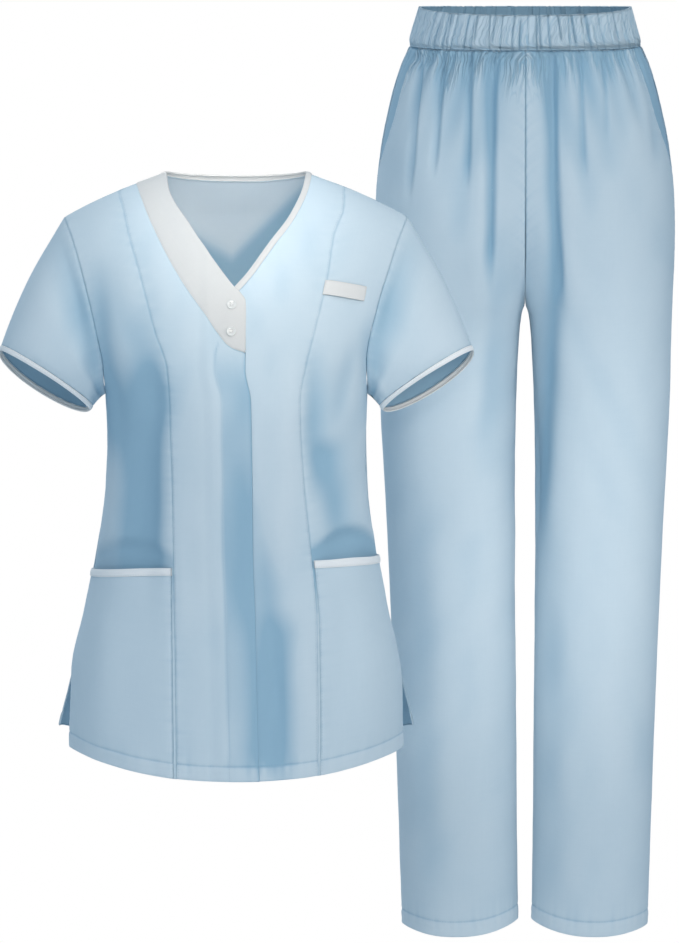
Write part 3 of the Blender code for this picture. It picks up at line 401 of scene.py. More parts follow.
def pucker(distance: Array, along: Array, size: float, seed: int) -> Array:
    """Small gathers beside a seam, which its thread draws in.

    Args:
        distance: Distance from the seam.
        along: Place along the seam.
        size: Height right beside the seam.
        seed: Makes the gathers of one seam different from another's.

    Returns:
        Height at each place.
    """
    draw = np.random.RandomState(seed)
    total = np.zeros(np.broadcast(distance, along).shape)
    for length in (0.0085, 0.013, 0.021):
        wander = 0.6 * np.sin(along / draw.uniform(0.03, 0.06) + draw.uniform(0.0, 6.3))
        total += np.sin(2.0 * np.pi * along / length + wander + draw.uniform(0.0, 6.3))
    return size * total / 2.0 * np.exp(-distance / 0.0075)


# ---- cloth as grids of points, and the meshes made from them


def new_object(name: str, data: bpy.types.ID) -> Object:
    """Object with the data, linked to the scene."""
    made = bpy.data.objects.new(name, data)
    bpy.context.scene.collection.objects.link(made)
    return made


def smooth_piece(name: str, corners: Sequence, faces: Sequence) -> Object:
    """Smooth object from its corners, and its faces as corner numbers."""
    mesh = bpy.data.meshes.new(name)
    mesh.from_pydata(corners, [], faces)
    mesh.shade_smooth()
    return new_object(name, mesh)


def mesh_of(bm: bmesh.types.BMesh, name: str) -> bpy.types.Mesh:
    """Mesh with the shape of a finished bmesh, which is freed."""
    mesh = bpy.data.meshes.new(name)
    bm.to_mesh(mesh)
    bm.free()
    return mesh


@dataclass
class ClothGrid:
    """Outer side of a piece of cloth as rows of points, with its normals and the distances along it.

    The relief doesn't move the points: it tells how deep in a fold each point lies, or how high on a ridge, for the
    painted shade and painted highlight there, and some pieces set it for painted shade or light alone. Gather tells how
    finely it is pleated, which also paints shade in the pleats' furrows.
    """

    points: Array
    wrap: bool = False
    flip: bool = False
    relief: Values = 0.0
    gather: Values = 0.0

    def __post_init__(self) -> None:
        """Works out the normals and the distances across and up."""
        if self.wrap:
            ring = np.concatenate((self.points[:, -2:-1], self.points, self.points[:, 1:2]), axis=1)
            around = (ring[:, 2:] - ring[:, :-2]) / 2.0
        else:
            around = np.gradient(self.points, axis=1)
        normals = unit(np.cross(around, np.gradient(self.points, axis=0)))
        self.normals = -normals if self.flip else normals
        steps = np.linalg.norm(np.diff(self.points, axis=1), axis=-1)
        self.across = np.concatenate((np.zeros((len(steps), 1)), np.cumsum(steps, axis=1)), axis=1)
        rises = np.linalg.norm(np.diff(self.points, axis=0), axis=-1)
        self.up = np.concatenate((np.zeros((1, rises.shape[1])), np.cumsum(rises, axis=0)), axis=0)

    @property
    def to_end(self) -> Array:
        """Distance of every point from the last column."""
        return self.across[:, -1:] - self.across

    @property
    def to_top(self) -> Array:
        """Distance of every point from the last row."""
        return self.up[-1:] - self.up

    def raised(self, rise: Values, shade: float = 0.0) -> "ClothGrid":
        """Same cloth, moved out along its normals. Shade tells how much the rise adds to its relief, and so to its
        painted shade.
        """
        rise = np.broadcast_to(np.asarray(rise, dtype=float), self.points.shape[:2])
        points = self.points + self.normals * rise[..., None]
        return ClothGrid(points, self.wrap, self.flip, self.relief + shade * rise, self.gather)

    def part(self, rows: slice, columns: slice) -> "ClothGrid":
        """Piece of the cloth."""
        return ClothGrid(self.points[rows, columns], False, self.flip)

    def with_rows(self, count: int) -> "ClothGrid":
        """Same cloth with the given number of rows, which crowd at both ends."""
        old, new = np.linspace(0.0, 1.0, self.points.shape[0]), crowded(count, 0.6)
        points = np.stack([[[np.interp(share, old, self.points[:, j, k]) for k in range(3)]
                            for j in range(self.points.shape[1])] for share in new])
        return ClothGrid(points, False, self.flip)

    def column_line(self, distance: float, from_end: bool = False) -> Line:
        """Points and normals up the cloth at a distance from its first or last column."""
        return self._line(self.to_end if from_end else self.across, distance, from_end)

    def row_line(self, distance: float, from_top: bool = False) -> Line:
        """Points and normals across the cloth at a distance from its first or last row."""
        place = self.to_top if from_top else self.up
        return self._line(place.T, distance, from_top, lambda grid: grid.swapaxes(0, 1))

    def _line(self, place: Array, distance: float, backwards: bool, turned: Edge = np.asarray) -> Line:
        """Point and normal of every row, or of every turned one, at which its places reach the distance."""
        step = -1 if backwards else 1
        found = [np.array([[np.interp(distance, keys[::step], row[::step, k]) for k in range(3)]
                           for keys, row in zip(place, turned(grid))]) for grid in (self.points, self.normals)]
        return found[0], unit(found[1])


def oriented(points: Array, middle: Array, wrap: bool = False, relief: Values = 0.0) -> ClothGrid:
    """Cloth whose normals point away from the middle."""
    grid = ClothGrid(points, wrap, relief=relief)
    if np.sum(grid.normals * (points - middle)) < 0.0:
        grid = ClothGrid(points, wrap, True, relief)
    return grid


def index_quads(rows: int, columns: int, start: int, reverse: bool, ring: bool = False) -> Array:
    """Faces of a grid of corners.

    Args:
        rows: Rows of corners.
        columns: Corners in each row.
        start: Number of the first corner.
        reverse: Whether the faces look the other way.
        ring: Whether the last column joins the first.

    Returns:
        Corner numbers of each face.
    """
    across = np.arange(columns if ring else columns - 1)
    row = start + np.arange(rows - 1)[:, None] * columns
    near, far = row + across, row + (across + 1) % columns
    quads = np.stack((near, far, far + columns, near + columns), axis=-1).reshape(-1, 4)
    return quads[:, ::-1] if reverse else quads


def rim_strip(outer: Array, middle: Array, inner: Array, reverse: bool) -> Array:
    """Faces of a rounded rim through three lines of corner numbers."""
    strips = []
    for low, high in ((outer, middle), (middle, inner)):
        strips.append(np.stack((low[:-1], low[1:], high[1:], high[:-1]), axis=-1))
    quads = np.concatenate(strips)
    return quads[:, ::-1] if reverse else quads


def wall_mesh(name: str, grid: ClothGrid, wall: Values = WALL, inside: Values = 0.0) -> Object:
    """Closed thin wall with rounded rims on the inner side of a grid.

    Args:
        name: Name of the object.
        grid: Outer side.
        wall: Thickness, one or one for each point.
        inside: Painted shade on the inner side, one or one for each point; below 0 it is painted light.

    Returns:
        The object, linked to the scene, with a UV map in metres and the amounts of its painted shade and pleating.
    """
    rows, columns = grid.points.shape[:2]
    wall = np.broadcast_to(np.asarray(wall, dtype=float), (rows, columns))
    outer = grid.points
    inner = outer - grid.normals * wall[..., None]
    corners = [outer.reshape(-1, 3), inner.reshape(-1, 3)]
    flat = np.stack((grid.across - grid.across[:, -1:] / 2.0, grid.up), axis=-1)
    maps = [flat.reshape(-1, 2)] * 2
    number = np.arange(rows * columns).reshape(rows, columns)
    behind = number + rows * columns
    quads = [index_quads(rows, columns, 0, grid.flip), index_quads(rows, columns, rows * columns, not grid.flip)]
    ends = [(np.s_[0], np.s_[1], True), (np.s_[-1], np.s_[-2], False)]
    if not grid.wrap:
        ends += [(np.s_[:, 0], np.s_[:, 1], False), (np.s_[:, -1], np.s_[:, -2], True)]
    start = 2 * rows * columns
    for edge, next_in, reverse in ends:
        outward = unit(outer[edge] - outer[next_in])
        half = wall[edge][:, None]
        middle = (outer[edge] + inner[edge]) / 2.0 + outward * half * 0.3
        corners.append(middle)
        maps.append(flat[edge])
        line = start + np.arange(len(middle))
        start += len(middle)
        quads.append(rim_strip(number[edge], line, behind[edge], reverse == grid.flip))
    mesh = bpy.data.meshes.new(name)
    mesh.from_pydata(np.concatenate(corners).tolist(), [], np.concatenate(quads).tolist())
    uv = mesh.uv_layers.new(name="cloth")
    places = np.concatenate(maps)
    loops = np.empty(len(mesh.loops), dtype=np.int32)
    mesh.loops.foreach_get("vertex_index", loops)
    uv.data.foreach_set("uv", places[loops].astype(np.float32).ravel())
    # Painted shade: the hollow attribute darkens the colour in folds and, below 0, paints a highlight on ridges; the
    # inner side gets the painted shade it is given.
    tones = (("hollow", np.clip(-grid.relief / HOLLOW_DEPTH, -1.0, 1.0), inside), ("gather", grid.gather, 0.0))
    for key, outside, within in tones:
        tone = np.zeros(len(mesh.vertices), dtype=np.float32)
        tone[: rows * columns] = np.broadcast_to(outside, (rows, columns)).ravel()
        tone[rows * columns : 2 * rows * columns] = np.broadcast_to(within, (rows, columns)).ravel()
        mesh.attributes.new(key, "FLOAT", "POINT").data.foreach_set("value", tone)
    if grid.wrap:
        bm = bmesh.new()
        bm.from_mesh(mesh)
        bmesh.ops.remove_doubles(bm, verts=bm.verts, dist=0.000002)
        bm.to_mesh(mesh)
        bm.free()
    mesh.shade_smooth()
    return new_object(name, mesh)


@dataclass(frozen=True)
class Stitching:
    """Rows of machine stitches: each one a small thread that goes down into the cloth at both ends."""

    pitch: float = 0.003
    length: float = 0.0023
    radius: float = 0.00022
    sunk: float = 0.00005

    def threads(self, line: Line) -> Line:
        """Corners and faces of the stitches along a line.

        Args:
            line: Points on the cloth and normals there.

        Returns:
            Corners, and faces as corner numbers.
        """
        points, normals = line
        reach = np.concatenate(([0.0], np.cumsum(np.linalg.norm(np.diff(points, axis=0), axis=-1))))
        count = max(1, int(reach[-1] / self.pitch))
        middles = (np.arange(count) + 0.5) * reach[-1] / count

        def at(values: Array, where: Array) -> Array:
            """Values at distances along the line."""
            return np.stack([np.interp(where, reach, values[:, k]) for k in range(3)], axis=-1)

        half = self.length / 2.0
        facing = unit(at(normals, middles))
        start, end = at(points, middles - half), at(points, middles + half)
        run = unit(end - start)
        aside = unit(np.cross(facing, run)) * self.radius
        over = facing * self.radius
        middle = (start + end) / 2.0 - facing * self.sunk
        rings = []
        for share in (-0.55, 0.55):
            centre = middle + run * half * share
            rings += [centre + aside, centre + over, centre - aside, centre - over]
        corners = [start - over * 2.5, *rings, end - over * 2.5]
        faces = [(0, 1, 2), (0, 2, 3), (0, 3, 4), (0, 4, 1), (9, 6, 5), (9, 7, 6), (9, 8, 7), (9, 5, 8)]
        faces += [(1, 5, 6), (1, 6, 2), (2, 6, 7), (2, 7, 3), (3, 7, 8), (3, 8, 4), (4, 8, 5), (4, 5, 1)]
        stacked = np.stack(corners, axis=1).reshape(-1, 3)
        numbers = (np.arange(count) * len(corners))[:, None, None] + np.array(faces)[None]
        return stacked, numbers.reshape(-1, 3)

    def sew(self, name: str, lines: Sequence[Line]) -> Object:
        """One object with the stitches of several lines."""
        corners, faces, start = [], [], 0
        for line in lines:
            points, numbers = self.threads(line)
            corners.append(points)
            faces.append(numbers + start)
            start += len(points)
        return smooth_piece(name, np.concatenate(corners).tolist(), np.concatenate(faces).tolist())


# ---- finishes


class ShaderTree:
    """Shader tree whose nodes are added with their settings and inputs in one call."""

    def __init__(self, tree: bpy.types.NodeTree) -> None:
        """Keeps the tree that nodes are added to."""
        self.tree = tree

    def feed(self, socket: Socket, value: Socket | float | Sequence[float]) -> None:
        """Links an input to another node's output, or sets the input's own value."""
        if isinstance(value, Socket):
            self.tree.links.new(value, socket)
        else:
            socket.default_value = value

    def fill(self, node: bpy.types.Node, **inputs: object) -> None:
        """Feeds named inputs of a node, with _ for a blank in the name."""
        for key, value in inputs.items():
            self.feed(node.inputs[key.replace("_", " ")], value)

    def node(self, kind: str, settings: dict[str, object] | None = None, **inputs: object) -> bpy.types.Node:
        """Adds a node.

        Args:
            kind: Type of the node, after ShaderNode.
            settings: Values of its properties.
            inputs: Its inputs, as fill takes them.

        Returns:
            The node.
        """
        made = self.tree.nodes.new(f"ShaderNode{kind}")
        for key, value in (settings or {}).items():
            setattr(made, key, value)
        self.fill(made, **inputs)
        return made

    def group(self, name: str, **inputs: object) -> bpy.types.NodeOutputs:
        """Adds a shared group, whose inputs are given as fill takes them, and gives its outputs."""
        return self.node("Group", {"node_tree": GROUPS[name]}, **inputs).outputs

    def maths(self, operation: str, *values: object) -> Socket:
        """Adds a sum.

        Args:
            operation: Kind of the sum.
            values: Sources or numbers.

        Returns:
            Its result.
        """
        made = self.node("Math", {"operation": operation})
        for socket, value in zip(made.inputs, values):
            self.feed(socket, value)
        return made.outputs[0]

    def blend(self, share: object, first: object, second: object, kind: str = "MIX") -> Socket:
        """Adds a blend of two colours.

        Args:
            share: Share of the second colour.
            first: First colour or its source.
            second: Second colour or its source.
            kind: How the second is laid on the first.

        Returns:
            The blended colour.
        """
        made = self.node("Mix", {"data_type": "RGBA", "blend_type": kind})
        sockets = {socket.identifier: socket for socket in made.inputs}
        for name, value in zip(("Factor_Float", "A_Color", "B_Color"), (share, first, second)):
            self.feed(sockets[name], value)
        return next(socket for socket in made.outputs if socket.identifier == "Result_Color")

    def drawn_noise(self, place: Socket, stretch: Point, detail: float) -> Socket:
        """Adds flat noise that is drawn out along the cloth.

        Args:
            place: Source of the place on the cloth.
            stretch: How often it varies in a metre, across and up.
            detail: Number of its finer layers.

        Returns:
            The noise.
        """
        scaled = self.node("VectorMath", {"operation": "MULTIPLY"})
        self.feed(scaled.inputs[0], place)
        self.feed(scaled.inputs[1], stretch)
        flat = {"noise_dimensions": "2D"}
        return self.node("TexNoise", flat, Vector=scaled.outputs[0], Scale=1.0, Detail=detail).outputs[0]


def new_group(name: str, inputs: dict[str, float | tuple], outputs: Sequence[str]) -> tuple:
    """Empty shader node group with named sockets.

    Args:
        name: Name of the group.
        inputs: Default of every input; a tuple of 4 is a colour and one of 3 a vector.
        outputs: Names of the outputs, of which Colour is a colour and the rest are numbers.

    Returns:
        The group's tree, the outputs of its input node and the inputs of its output node.
    """
    tree = bpy.data.node_groups.new(name, "ShaderNodeTree")
    for key, value in inputs.items():
        kind = {4: "Color", 3: "Vector"}[len(value)] if isinstance(value, tuple) else "Float"
        tree.interface.new_socket(key, in_out="INPUT", socket_type=f"NodeSocket{kind}").default_value = value
    for key in outputs:
        kind = "Color" if key == "Colour" else "Float"
        tree.interface.new_socket(key, in_out="OUTPUT", socket_type=f"NodeSocket{kind}")
    given, result = tree.nodes.new("NodeGroupInput"), tree.nodes.new("NodeGroupOutput")
    return ShaderTree(tree), given.outputs, result.inputs


def plain_weave_group() -> bpy.types.NodeTree:
    """Plain weave: each thread goes over one and under the next, and some threads are a little thicker."""
    inputs = {"Place": (0.0, 0.0, 0.0), "Warp": 0.0003, "Weft": 0.00036, "Slubs": 0.4}
    g, given, result = new_group("plain_weave", inputs, ("Height", "Tone"))
    places = g.node("SeparateXYZ", Vector=given["Place"]).outputs
    counts = [g.maths("DIVIDE", place, given[key]) for place, key in zip(places, ("Warp", "Weft"))]
    across, along = (g.maths("SINE", g.maths("MULTIPLY", count, math.pi)) for count in counts)
    over = g.maths("GREATER_THAN", g.maths("MULTIPLY", across, along), 0.0)
    upper = g.maths("MULTIPLY", g.maths("ABSOLUTE", across), over)
    lower = g.maths("MULTIPLY", g.maths("ABSOLUTE", along), g.maths("SUBTRACT", 1.0, over))
    threads = g.maths("ADD", upper, lower)
    slubs = [g.drawn_noise(given["Place"], stretch, 2.0) for stretch in ((900.0, 14.0, 1.0), (14.0, 800.0, 1.0))]
    uneven = g.maths("SUBTRACT", g.maths("MULTIPLY", g.maths("ADD", *slubs), 0.5), 0.5)
    thick = g.maths("MULTIPLY", uneven, given["Slubs"])
    g.feed(result["Height"], g.maths("ADD", threads, g.maths("MULTIPLY", thick, 3.0)))
    g.feed(result["Tone"], g.maths("ADD", thick, 0.5))
    return g.tree


def wear_group() -> bpy.types.NodeTree:
    """Cloud-like unevenness of washed cloth: a broad tone, a fine one, and slight crumples."""
    inputs = {"Place": (0.0, 0.0, 0.0), "Broad": 9.0, "Fine": 140.0}
    g, given, result = new_group("washed_unevenness", inputs, ("Tone", "Crumple"))
    broad, fine = (g.node("TexNoise", Detail=detail, Vector=given["Place"], Scale=given[key]).outputs[0]
                   for key, detail in (("Broad", 3.0), ("Fine", 4.0)))
    g.feed(result["Tone"], g.maths("ADD", g.maths("MULTIPLY", broad, 0.7), g.maths("MULTIPLY", fine, 0.3)))
    g.feed(result["Crumple"], g.maths("ADD", broad, g.maths("MULTIPLY", fine, 0.25)))
    return g.tree


def painted_shade_group() -> bpy.types.NodeTree:
    """Painted shade and highlight: the colour is tinted darker in the hollows of the cloth, and lightened a little
    towards white on its ridges.
    """
    white = (1.0, 1.0, 1.0, 1.0)
    inputs = {"Colour": white, "Hollow Tint": white, "Hollow": 0.0, "Ridge Fade": 0.25}
    g, given, result = new_group("painted_shade_and_highlight", inputs, ("Colour",))
    deep = g.node("Clamp", Value=given["Hollow"]).outputs[0]
    tinted = g.blend(1.0, given["Colour"], given["Hollow Tint"], "MULTIPLY")
    held = g.blend(deep, given["Colour"], tinted)
    high = g.maths("MINIMUM", g.maths("MAXIMUM", g.maths("MULTIPLY", given["Hollow"], -1.0), 0.0), 1.0)
    g.feed(result["Colour"], g.blend(g.maths("MULTIPLY", high, given["Ridge Fade"]), held, white))
    return g.tree


def pleats_group() -> bpy.types.NodeTree:
    """Fine uneven pleats of gathered cloth that run up it: narrow furrows that fork and die away. Height bumps them,
    and Furrow is the mask of their painted shade.
    """
    g, given, result = new_group("fine_pleats", {"Place": (0.0, 0.0, 0.0), "Amount": 0.0}, ("Height", "Furrow"))
    furrows = []
    for stretch, width in (((170.0, 9.0, 1.0), 0.055), ((95.0, 14.0, 1.0), 0.035)):
        noise = g.drawn_noise(given["Place"], stretch, 1.0)
        away = g.maths("ABSOLUTE", g.maths("SUBTRACT", noise, 0.5))
        soft = {"interpolation_type": "SMOOTHSTEP"}
        furrows.append(g.node("MapRange", soft, Value=away, From_Max=width, To_Min=1.0, To_Max=0.0).outputs[0])
    furrow = g.maths("MULTIPLY", g.maths("MAXIMUM", *furrows), given["Amount"])
    g.feed(result["Furrow"], furrow)
    g.feed(result["Height"], g.maths("MULTIPLY", furrow, -1.0))
    return g.tree


# The fade group paints shade into hollows and a highlight onto ridges.
GROUPS = {"weave": plain_weave_group(), "washed": wear_group(), "fade": painted_shade_group(), "pleats": pleats_group()}


def new_material(name: str) -> tuple[bpy.types.Material, ShaderTree, bpy.types.Node]:
    """Material, its tree and its shader."""
    made = bpy.data.materials.new(name)
    made.use_nodes = True
    return made, ShaderTree(made.node_tree), made.node_tree.nodes["Principled BSDF"]


@dataclass(frozen=True)
class PoplinFinish:
    """Plain-woven cotton mix with a soft sheen."""

    name: str
    light: Point
    dark: Point
    # Tint of the painted shade in hollows.
    hollow: Point = (0.54, 0.71, 0.81)
    roughness: tuple[float, float] = (0.72, 0.84)
    sheen: float = 0.12
    # Share by which ridges are lightened towards white, a painted highlight.
    ridge_painted_highlight: float = 0.25
    weave_depth: float = 0.00006
    crumple_depth: float = 0.0009
    pleat_depth: float = 0.001

    def material(self) -> bpy.types.Material:
        """Material with woven relief, an uneven tone, painted shade in the hollows, a painted highlight on ridges and a
        sheen.
        """
        made, g, shader = new_material(self.name)
        light, dark, hollow = ((*colour, 1.0) for colour in (self.light, self.dark, self.hollow))
        flat, solid = g.node("UVMap", {"uv_map": "cloth"}).outputs[0], g.node("TexCoord").outputs["Object"]
        weave = g.group("weave", Place=flat, Warp=0.0003, Weft=0.00036, Slubs=0.4)
        washed = g.group("washed", Place=solid, Broad=9.0, Fine=140.0)
        tone = g.maths("ADD", g.maths("MULTIPLY", weave["Tone"], 0.55), g.maths("MULTIPLY", washed["Tone"], 0.45))
        share = g.node("MapRange", From_Min=0.35, From_Max=0.65, Value=tone).outputs[0]
        # Painted shade from the hollow attribute and the pleats' furrows, and a painted highlight on ridges.
        gathered, sunk = (g.node("Attribute", {"attribute_name": key}).outputs["Fac"] for key in ("gather", "hollow"))
        pleats = g.group("pleats", Place=flat, Amount=gathered)
        deep = g.maths("ADD", sunk, g.maths("MULTIPLY", pleats["Furrow"], 0.9))
        painted_shade_colour = g.group("fade", Colour=g.blend(share, dark, light), Hollow_Tint=hollow, Hollow=deep,
                       Ridge_Fade=self.ridge_painted_highlight)
        low, high = self.roughness
        rough = g.node("MapRange", To_Min=low, To_Max=high, Value=washed["Tone"]).outputs[0]
        crumpled = g.node("Bump", Strength=0.35, Distance=self.crumple_depth, Height=washed["Crumple"]).outputs[0]
        pressed = g.node("Bump", Distance=self.pleat_depth, Height=pleats["Height"], Normal=crumpled).outputs[0]
        woven = g.node("Bump", Strength=0.5, Distance=self.weave_depth, Height=weave["Height"], Normal=pressed)
        g.fill(shader, Base_Color=painted_shade_colour["Colour"], Roughness=rough, Normal=woven.outputs[0], Sheen_Tint=light,
               Sheen_Weight=self.sheen, Sheen_Roughness=0.45, Specular_IOR_Level=0.28)
        return made


@dataclass(frozen=True)
class MoldedFinish:
    """Smooth finish of a small hard or wound thing, such as button plastic or sewing thread."""

    name: str
    light: Point
    dark: Point
    roughness: tuple[float, float]
    coat: float = 0.0
    grain: float = 900.0
    relief: float = 0.00003

    def material(self) -> bpy.types.Material:
        """Material with a slightly uneven tone and gloss."""
        made, g, shader = new_material(self.name)
        solid = g.node("TexCoord").outputs["Object"]
        washed = g.group("washed", Place=solid, Broad=self.grain / 4.0, Fine=self.grain)
        low, high = self.roughness
        rough = g.node("MapRange", To_Min=low, To_Max=high, Value=washed["Tone"]).outputs[0]
        bump = g.node("Bump", Strength=0.4, Distance=self.relief, Height=washed["Crumple"]).outputs[0]
        colour = g.blend(washed["Tone"], (*self.dark, 1.0), (*self.light, 1.0))
        g.fill(shader, Base_Color=colour, Roughness=rough, Normal=bump, Coat_Weight=self.coat, Coat_Roughness=0.2)
        return made


class Finish(Enum):
    """Finishes of the scrubs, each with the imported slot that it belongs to."""

    # A poplin's hollow colour tints its painted shade; the white trim's painted highlight on ridges is strong.
    BLUE = ("blue_poplin", PoplinFinish("washed_blue_poplin", (0.665, 0.775, 0.845), (0.620, 0.738, 0.812)))
    WHITE = ("white_poplin", PoplinFinish("white_trim_poplin", (0.83, 0.815, 0.79), (0.79, 0.775, 0.75),
                                          (0.84, 0.85, 0.86), ridge_painted_highlight=0.8))
    BLUE_THREAD = ("blue_poplin", MoldedFinish("blue_thread", (0.50, 0.62, 0.72), (0.38, 0.50, 0.60), (0.55, 0.7)))
    WHITE_THREAD = ("white_poplin", MoldedFinish("white_thread", (0.78, 0.78, 0.77), (0.66, 0.66, 0.65), (0.55, 0.7)))
    PLASTIC = ("button_plastic", MoldedFinish("white_button_plastic", (0.80, 0.80, 0.78), (0.72, 0.72, 0.70),
                                              (0.22, 0.34), 0.4))

    @property
    def slot(self) -> str:
        """Packed material slot."""
        return self.value[0]


MATERIALS = {finish: finish.value[1].material() for finish in Finish}
THREADS = {Finish.BLUE: Finish.BLUE_THREAD, Finish.WHITE: Finish.WHITE_THREAD}


class Held(Enum):
    """How a piece of cloth is held."""

    DRAPED = "draped"
    GATHERED = "gathered"
    STRETCHED = "stretched"


@dataclass(frozen=True)
class Cut:
    """Flat cut of a piece of cloth with its seam and hem allowances, and the pieces that it rests on."""

    width: float
    length: float
    area: float
    rests_on: tuple[str, ...] = ()
    held: Held = Held.DRAPED


def dress(piece: Object, finish: Finish, nodes: Sequence[str] = ()) -> Object:
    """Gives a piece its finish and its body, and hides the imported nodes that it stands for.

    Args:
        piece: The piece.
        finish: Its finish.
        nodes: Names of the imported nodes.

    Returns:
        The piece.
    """
    piece.data.materials.append(MATERIALS[finish])
    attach(piece, "root")
    if nodes:
        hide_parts(*nodes)
    LOG.info("%s: %d faces, %s", piece.name, len(piece.data.polygons), finish.slot)
    return piece


@dataclass
class Garment:
    """Garment whose pieces of cloth are made and dressed alike."""

    stitching: Stitching = Stitching()
    topstitch: float = 0.0022

    def finish(self, name: str, grid: ClothGrid, lines: Sequence[Line] = (), wall: Values = WALL,
               inside: Values = 0.0, cloth: Finish = Finish.BLUE) -> None:
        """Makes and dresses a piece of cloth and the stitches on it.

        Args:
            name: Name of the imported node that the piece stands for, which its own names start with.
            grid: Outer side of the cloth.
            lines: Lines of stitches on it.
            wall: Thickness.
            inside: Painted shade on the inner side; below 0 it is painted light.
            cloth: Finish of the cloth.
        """
        piece = dress(wall_mesh(f"{name}_cloth", grid, wall, inside), cloth, (name,))
        sewn = [dress(self.stitching.sew(f"{name}_stitches", lines), THREADS[cloth])] if lines else []


# ---- top

# Largest folds of the top, which its solids have too, then softer and finer ones. across is the distance from
# the middle, positive on the wearer's left, and up is the height.
FRONT_CREASES = (
    # across_1, up_1, across_2, up_2, width, depth, steepness, bow, fade
    (-112, -210, -108, -420, 22, -4.5), (-30, -230, -40, -480, 20, 2.5), (52, -480, 30, -640, 20, -4.5),
    (62, -200, 46, -420, 18, 3), (104, -290, 118, -410, 18, -4.5), (-140, -480, -150, -620, 18, 3),
    (135, -470, 150, -620, 18, 3), (-122, -135, -74, -262, 20, -3.2, 0.7, 4, 0.5),
    (-92, -200, -106, -400, 14, -3.5, 0.8, 3, 0.5), (-153, -115, -134, -300, 13, -5, 1, 3, 0.5),
    (150, -170, 138, -280, 10, -3, 1, -3, 0.5), (-96, -235, -99, -475, 34, -5.6, 2.4, 0, 0.4),
    (24, -370, 60, -700, 32, -4.8, 2.3, 2, 0.5), (88, -200, 94, -340, 13, -4.2, 0.9, 2, 0.6),
    (-132, -290, -137, -400, 8, 1.6, 1, 2, 0.6), (-60, -330, -56, -520, 10, 1.2, 1, 2, 0.6),
    (24, -260, 28, -440, 10, 1.2, 1, 0, 0.6), (126, -190, 110, -262, 10, -2, 1.4, -3, 0.6),
    (140, -270, 146, -370, 8, 1.4, 1, 0, 0.6), (72, -450, 86, -620, 14, 2, 1, 0, 0.5),
    (-110, -500, -106, -620, 18, -1.8, 1, 4, 0.6), (120, -480, 104, -600, 14, -1.8, 1.3, -4, 0.6),
)

BACK_CREASES = (
    (-90, -180, -70, -400, 22, -4), (85, -190, 70, -420, 22, -4), (4, -280, 0, -520, 22, -3.5),
    (-110, -430, -130, -610, 20, 3.5), (105, -440, 125, -610, 20, 3.5), (-128, -150, -86, -232, 11, -2.4, 1.5, 4, 0.5),
    (130, -145, 90, -238, 11, -2.6, 1.5, -5, 0.5), (-100, -260, -104, -400, 10, -2.2, 1.5, 3, 0.6),
    (106, -250, 108, -385, 11, -2.4, 1.5, -3, 0.6), (-40, -310, -46, -480, 12, -1.6, 1.3, 3, 0.6),
    (48, -330, 50, -470, 10, -1.8, 1.4, -2, 0.6), (-60, -60, 60, -60, 16, 1.2, 1, -10, 0.6),
    (30, -470, 42, -620, 13, -2, 1.4, 0, 0.6), (-52, -490, -66, -620, 13, -1.8, 1.4, 0, 0.6),
)

# Creases of a sleeve: across is the turn round it (0 under the arm, 0.5 at the top of the shoulder, then the
# back), up is the share of the way from the armhole to the cuff.
SLEEVE_CREASES = (
    (30, 400, 330, 20, 170, -4.6, 1, 0, 0.4), (50, 200, 40, 900, 35, -2, 1, 4, 0.5),
    (370, 400, 330, 1000, 110, 2.2, 1, 0, 0.5), (145, 100, 120, 850, 24, 1.6, 1, 0, 0.6),
    (310, 50, 280, 800, 40, -1.4, 1, 10, 0.6), (900, 60, 930, 660, 30, -4.2, 1.5, -4, 0.5),
    (810, 50, 840, 600, 34, -3, 1.5, 8, 0.6), (700, 100, 730, 750, 40, -1.4, 1, 0, 0.6),
)


def form_normal(point: Callable[[Array, Array], Array], angle: Array, height: Array, outward: Array) -> Array:
    """Normals of a smooth form.

    Args:
        point: Points of the form over an angle round it and a height.
        angle: Angles.
        height: Heights.
        outward: Directions that the normals lean to.

    Returns:
        Normal at each place.
    """
    turn, rise = 0.002, 0.001
    across = point(angle + turn, height) - point(angle - turn, height)
    along = point(angle, height + rise) - point(angle, height - rise)
    normal = unit(np.cross(across, along))
    return normal * np.where(np.sum(normal * outward, axis=-1) > 0.0, 1.0, -1.0)[..., None]


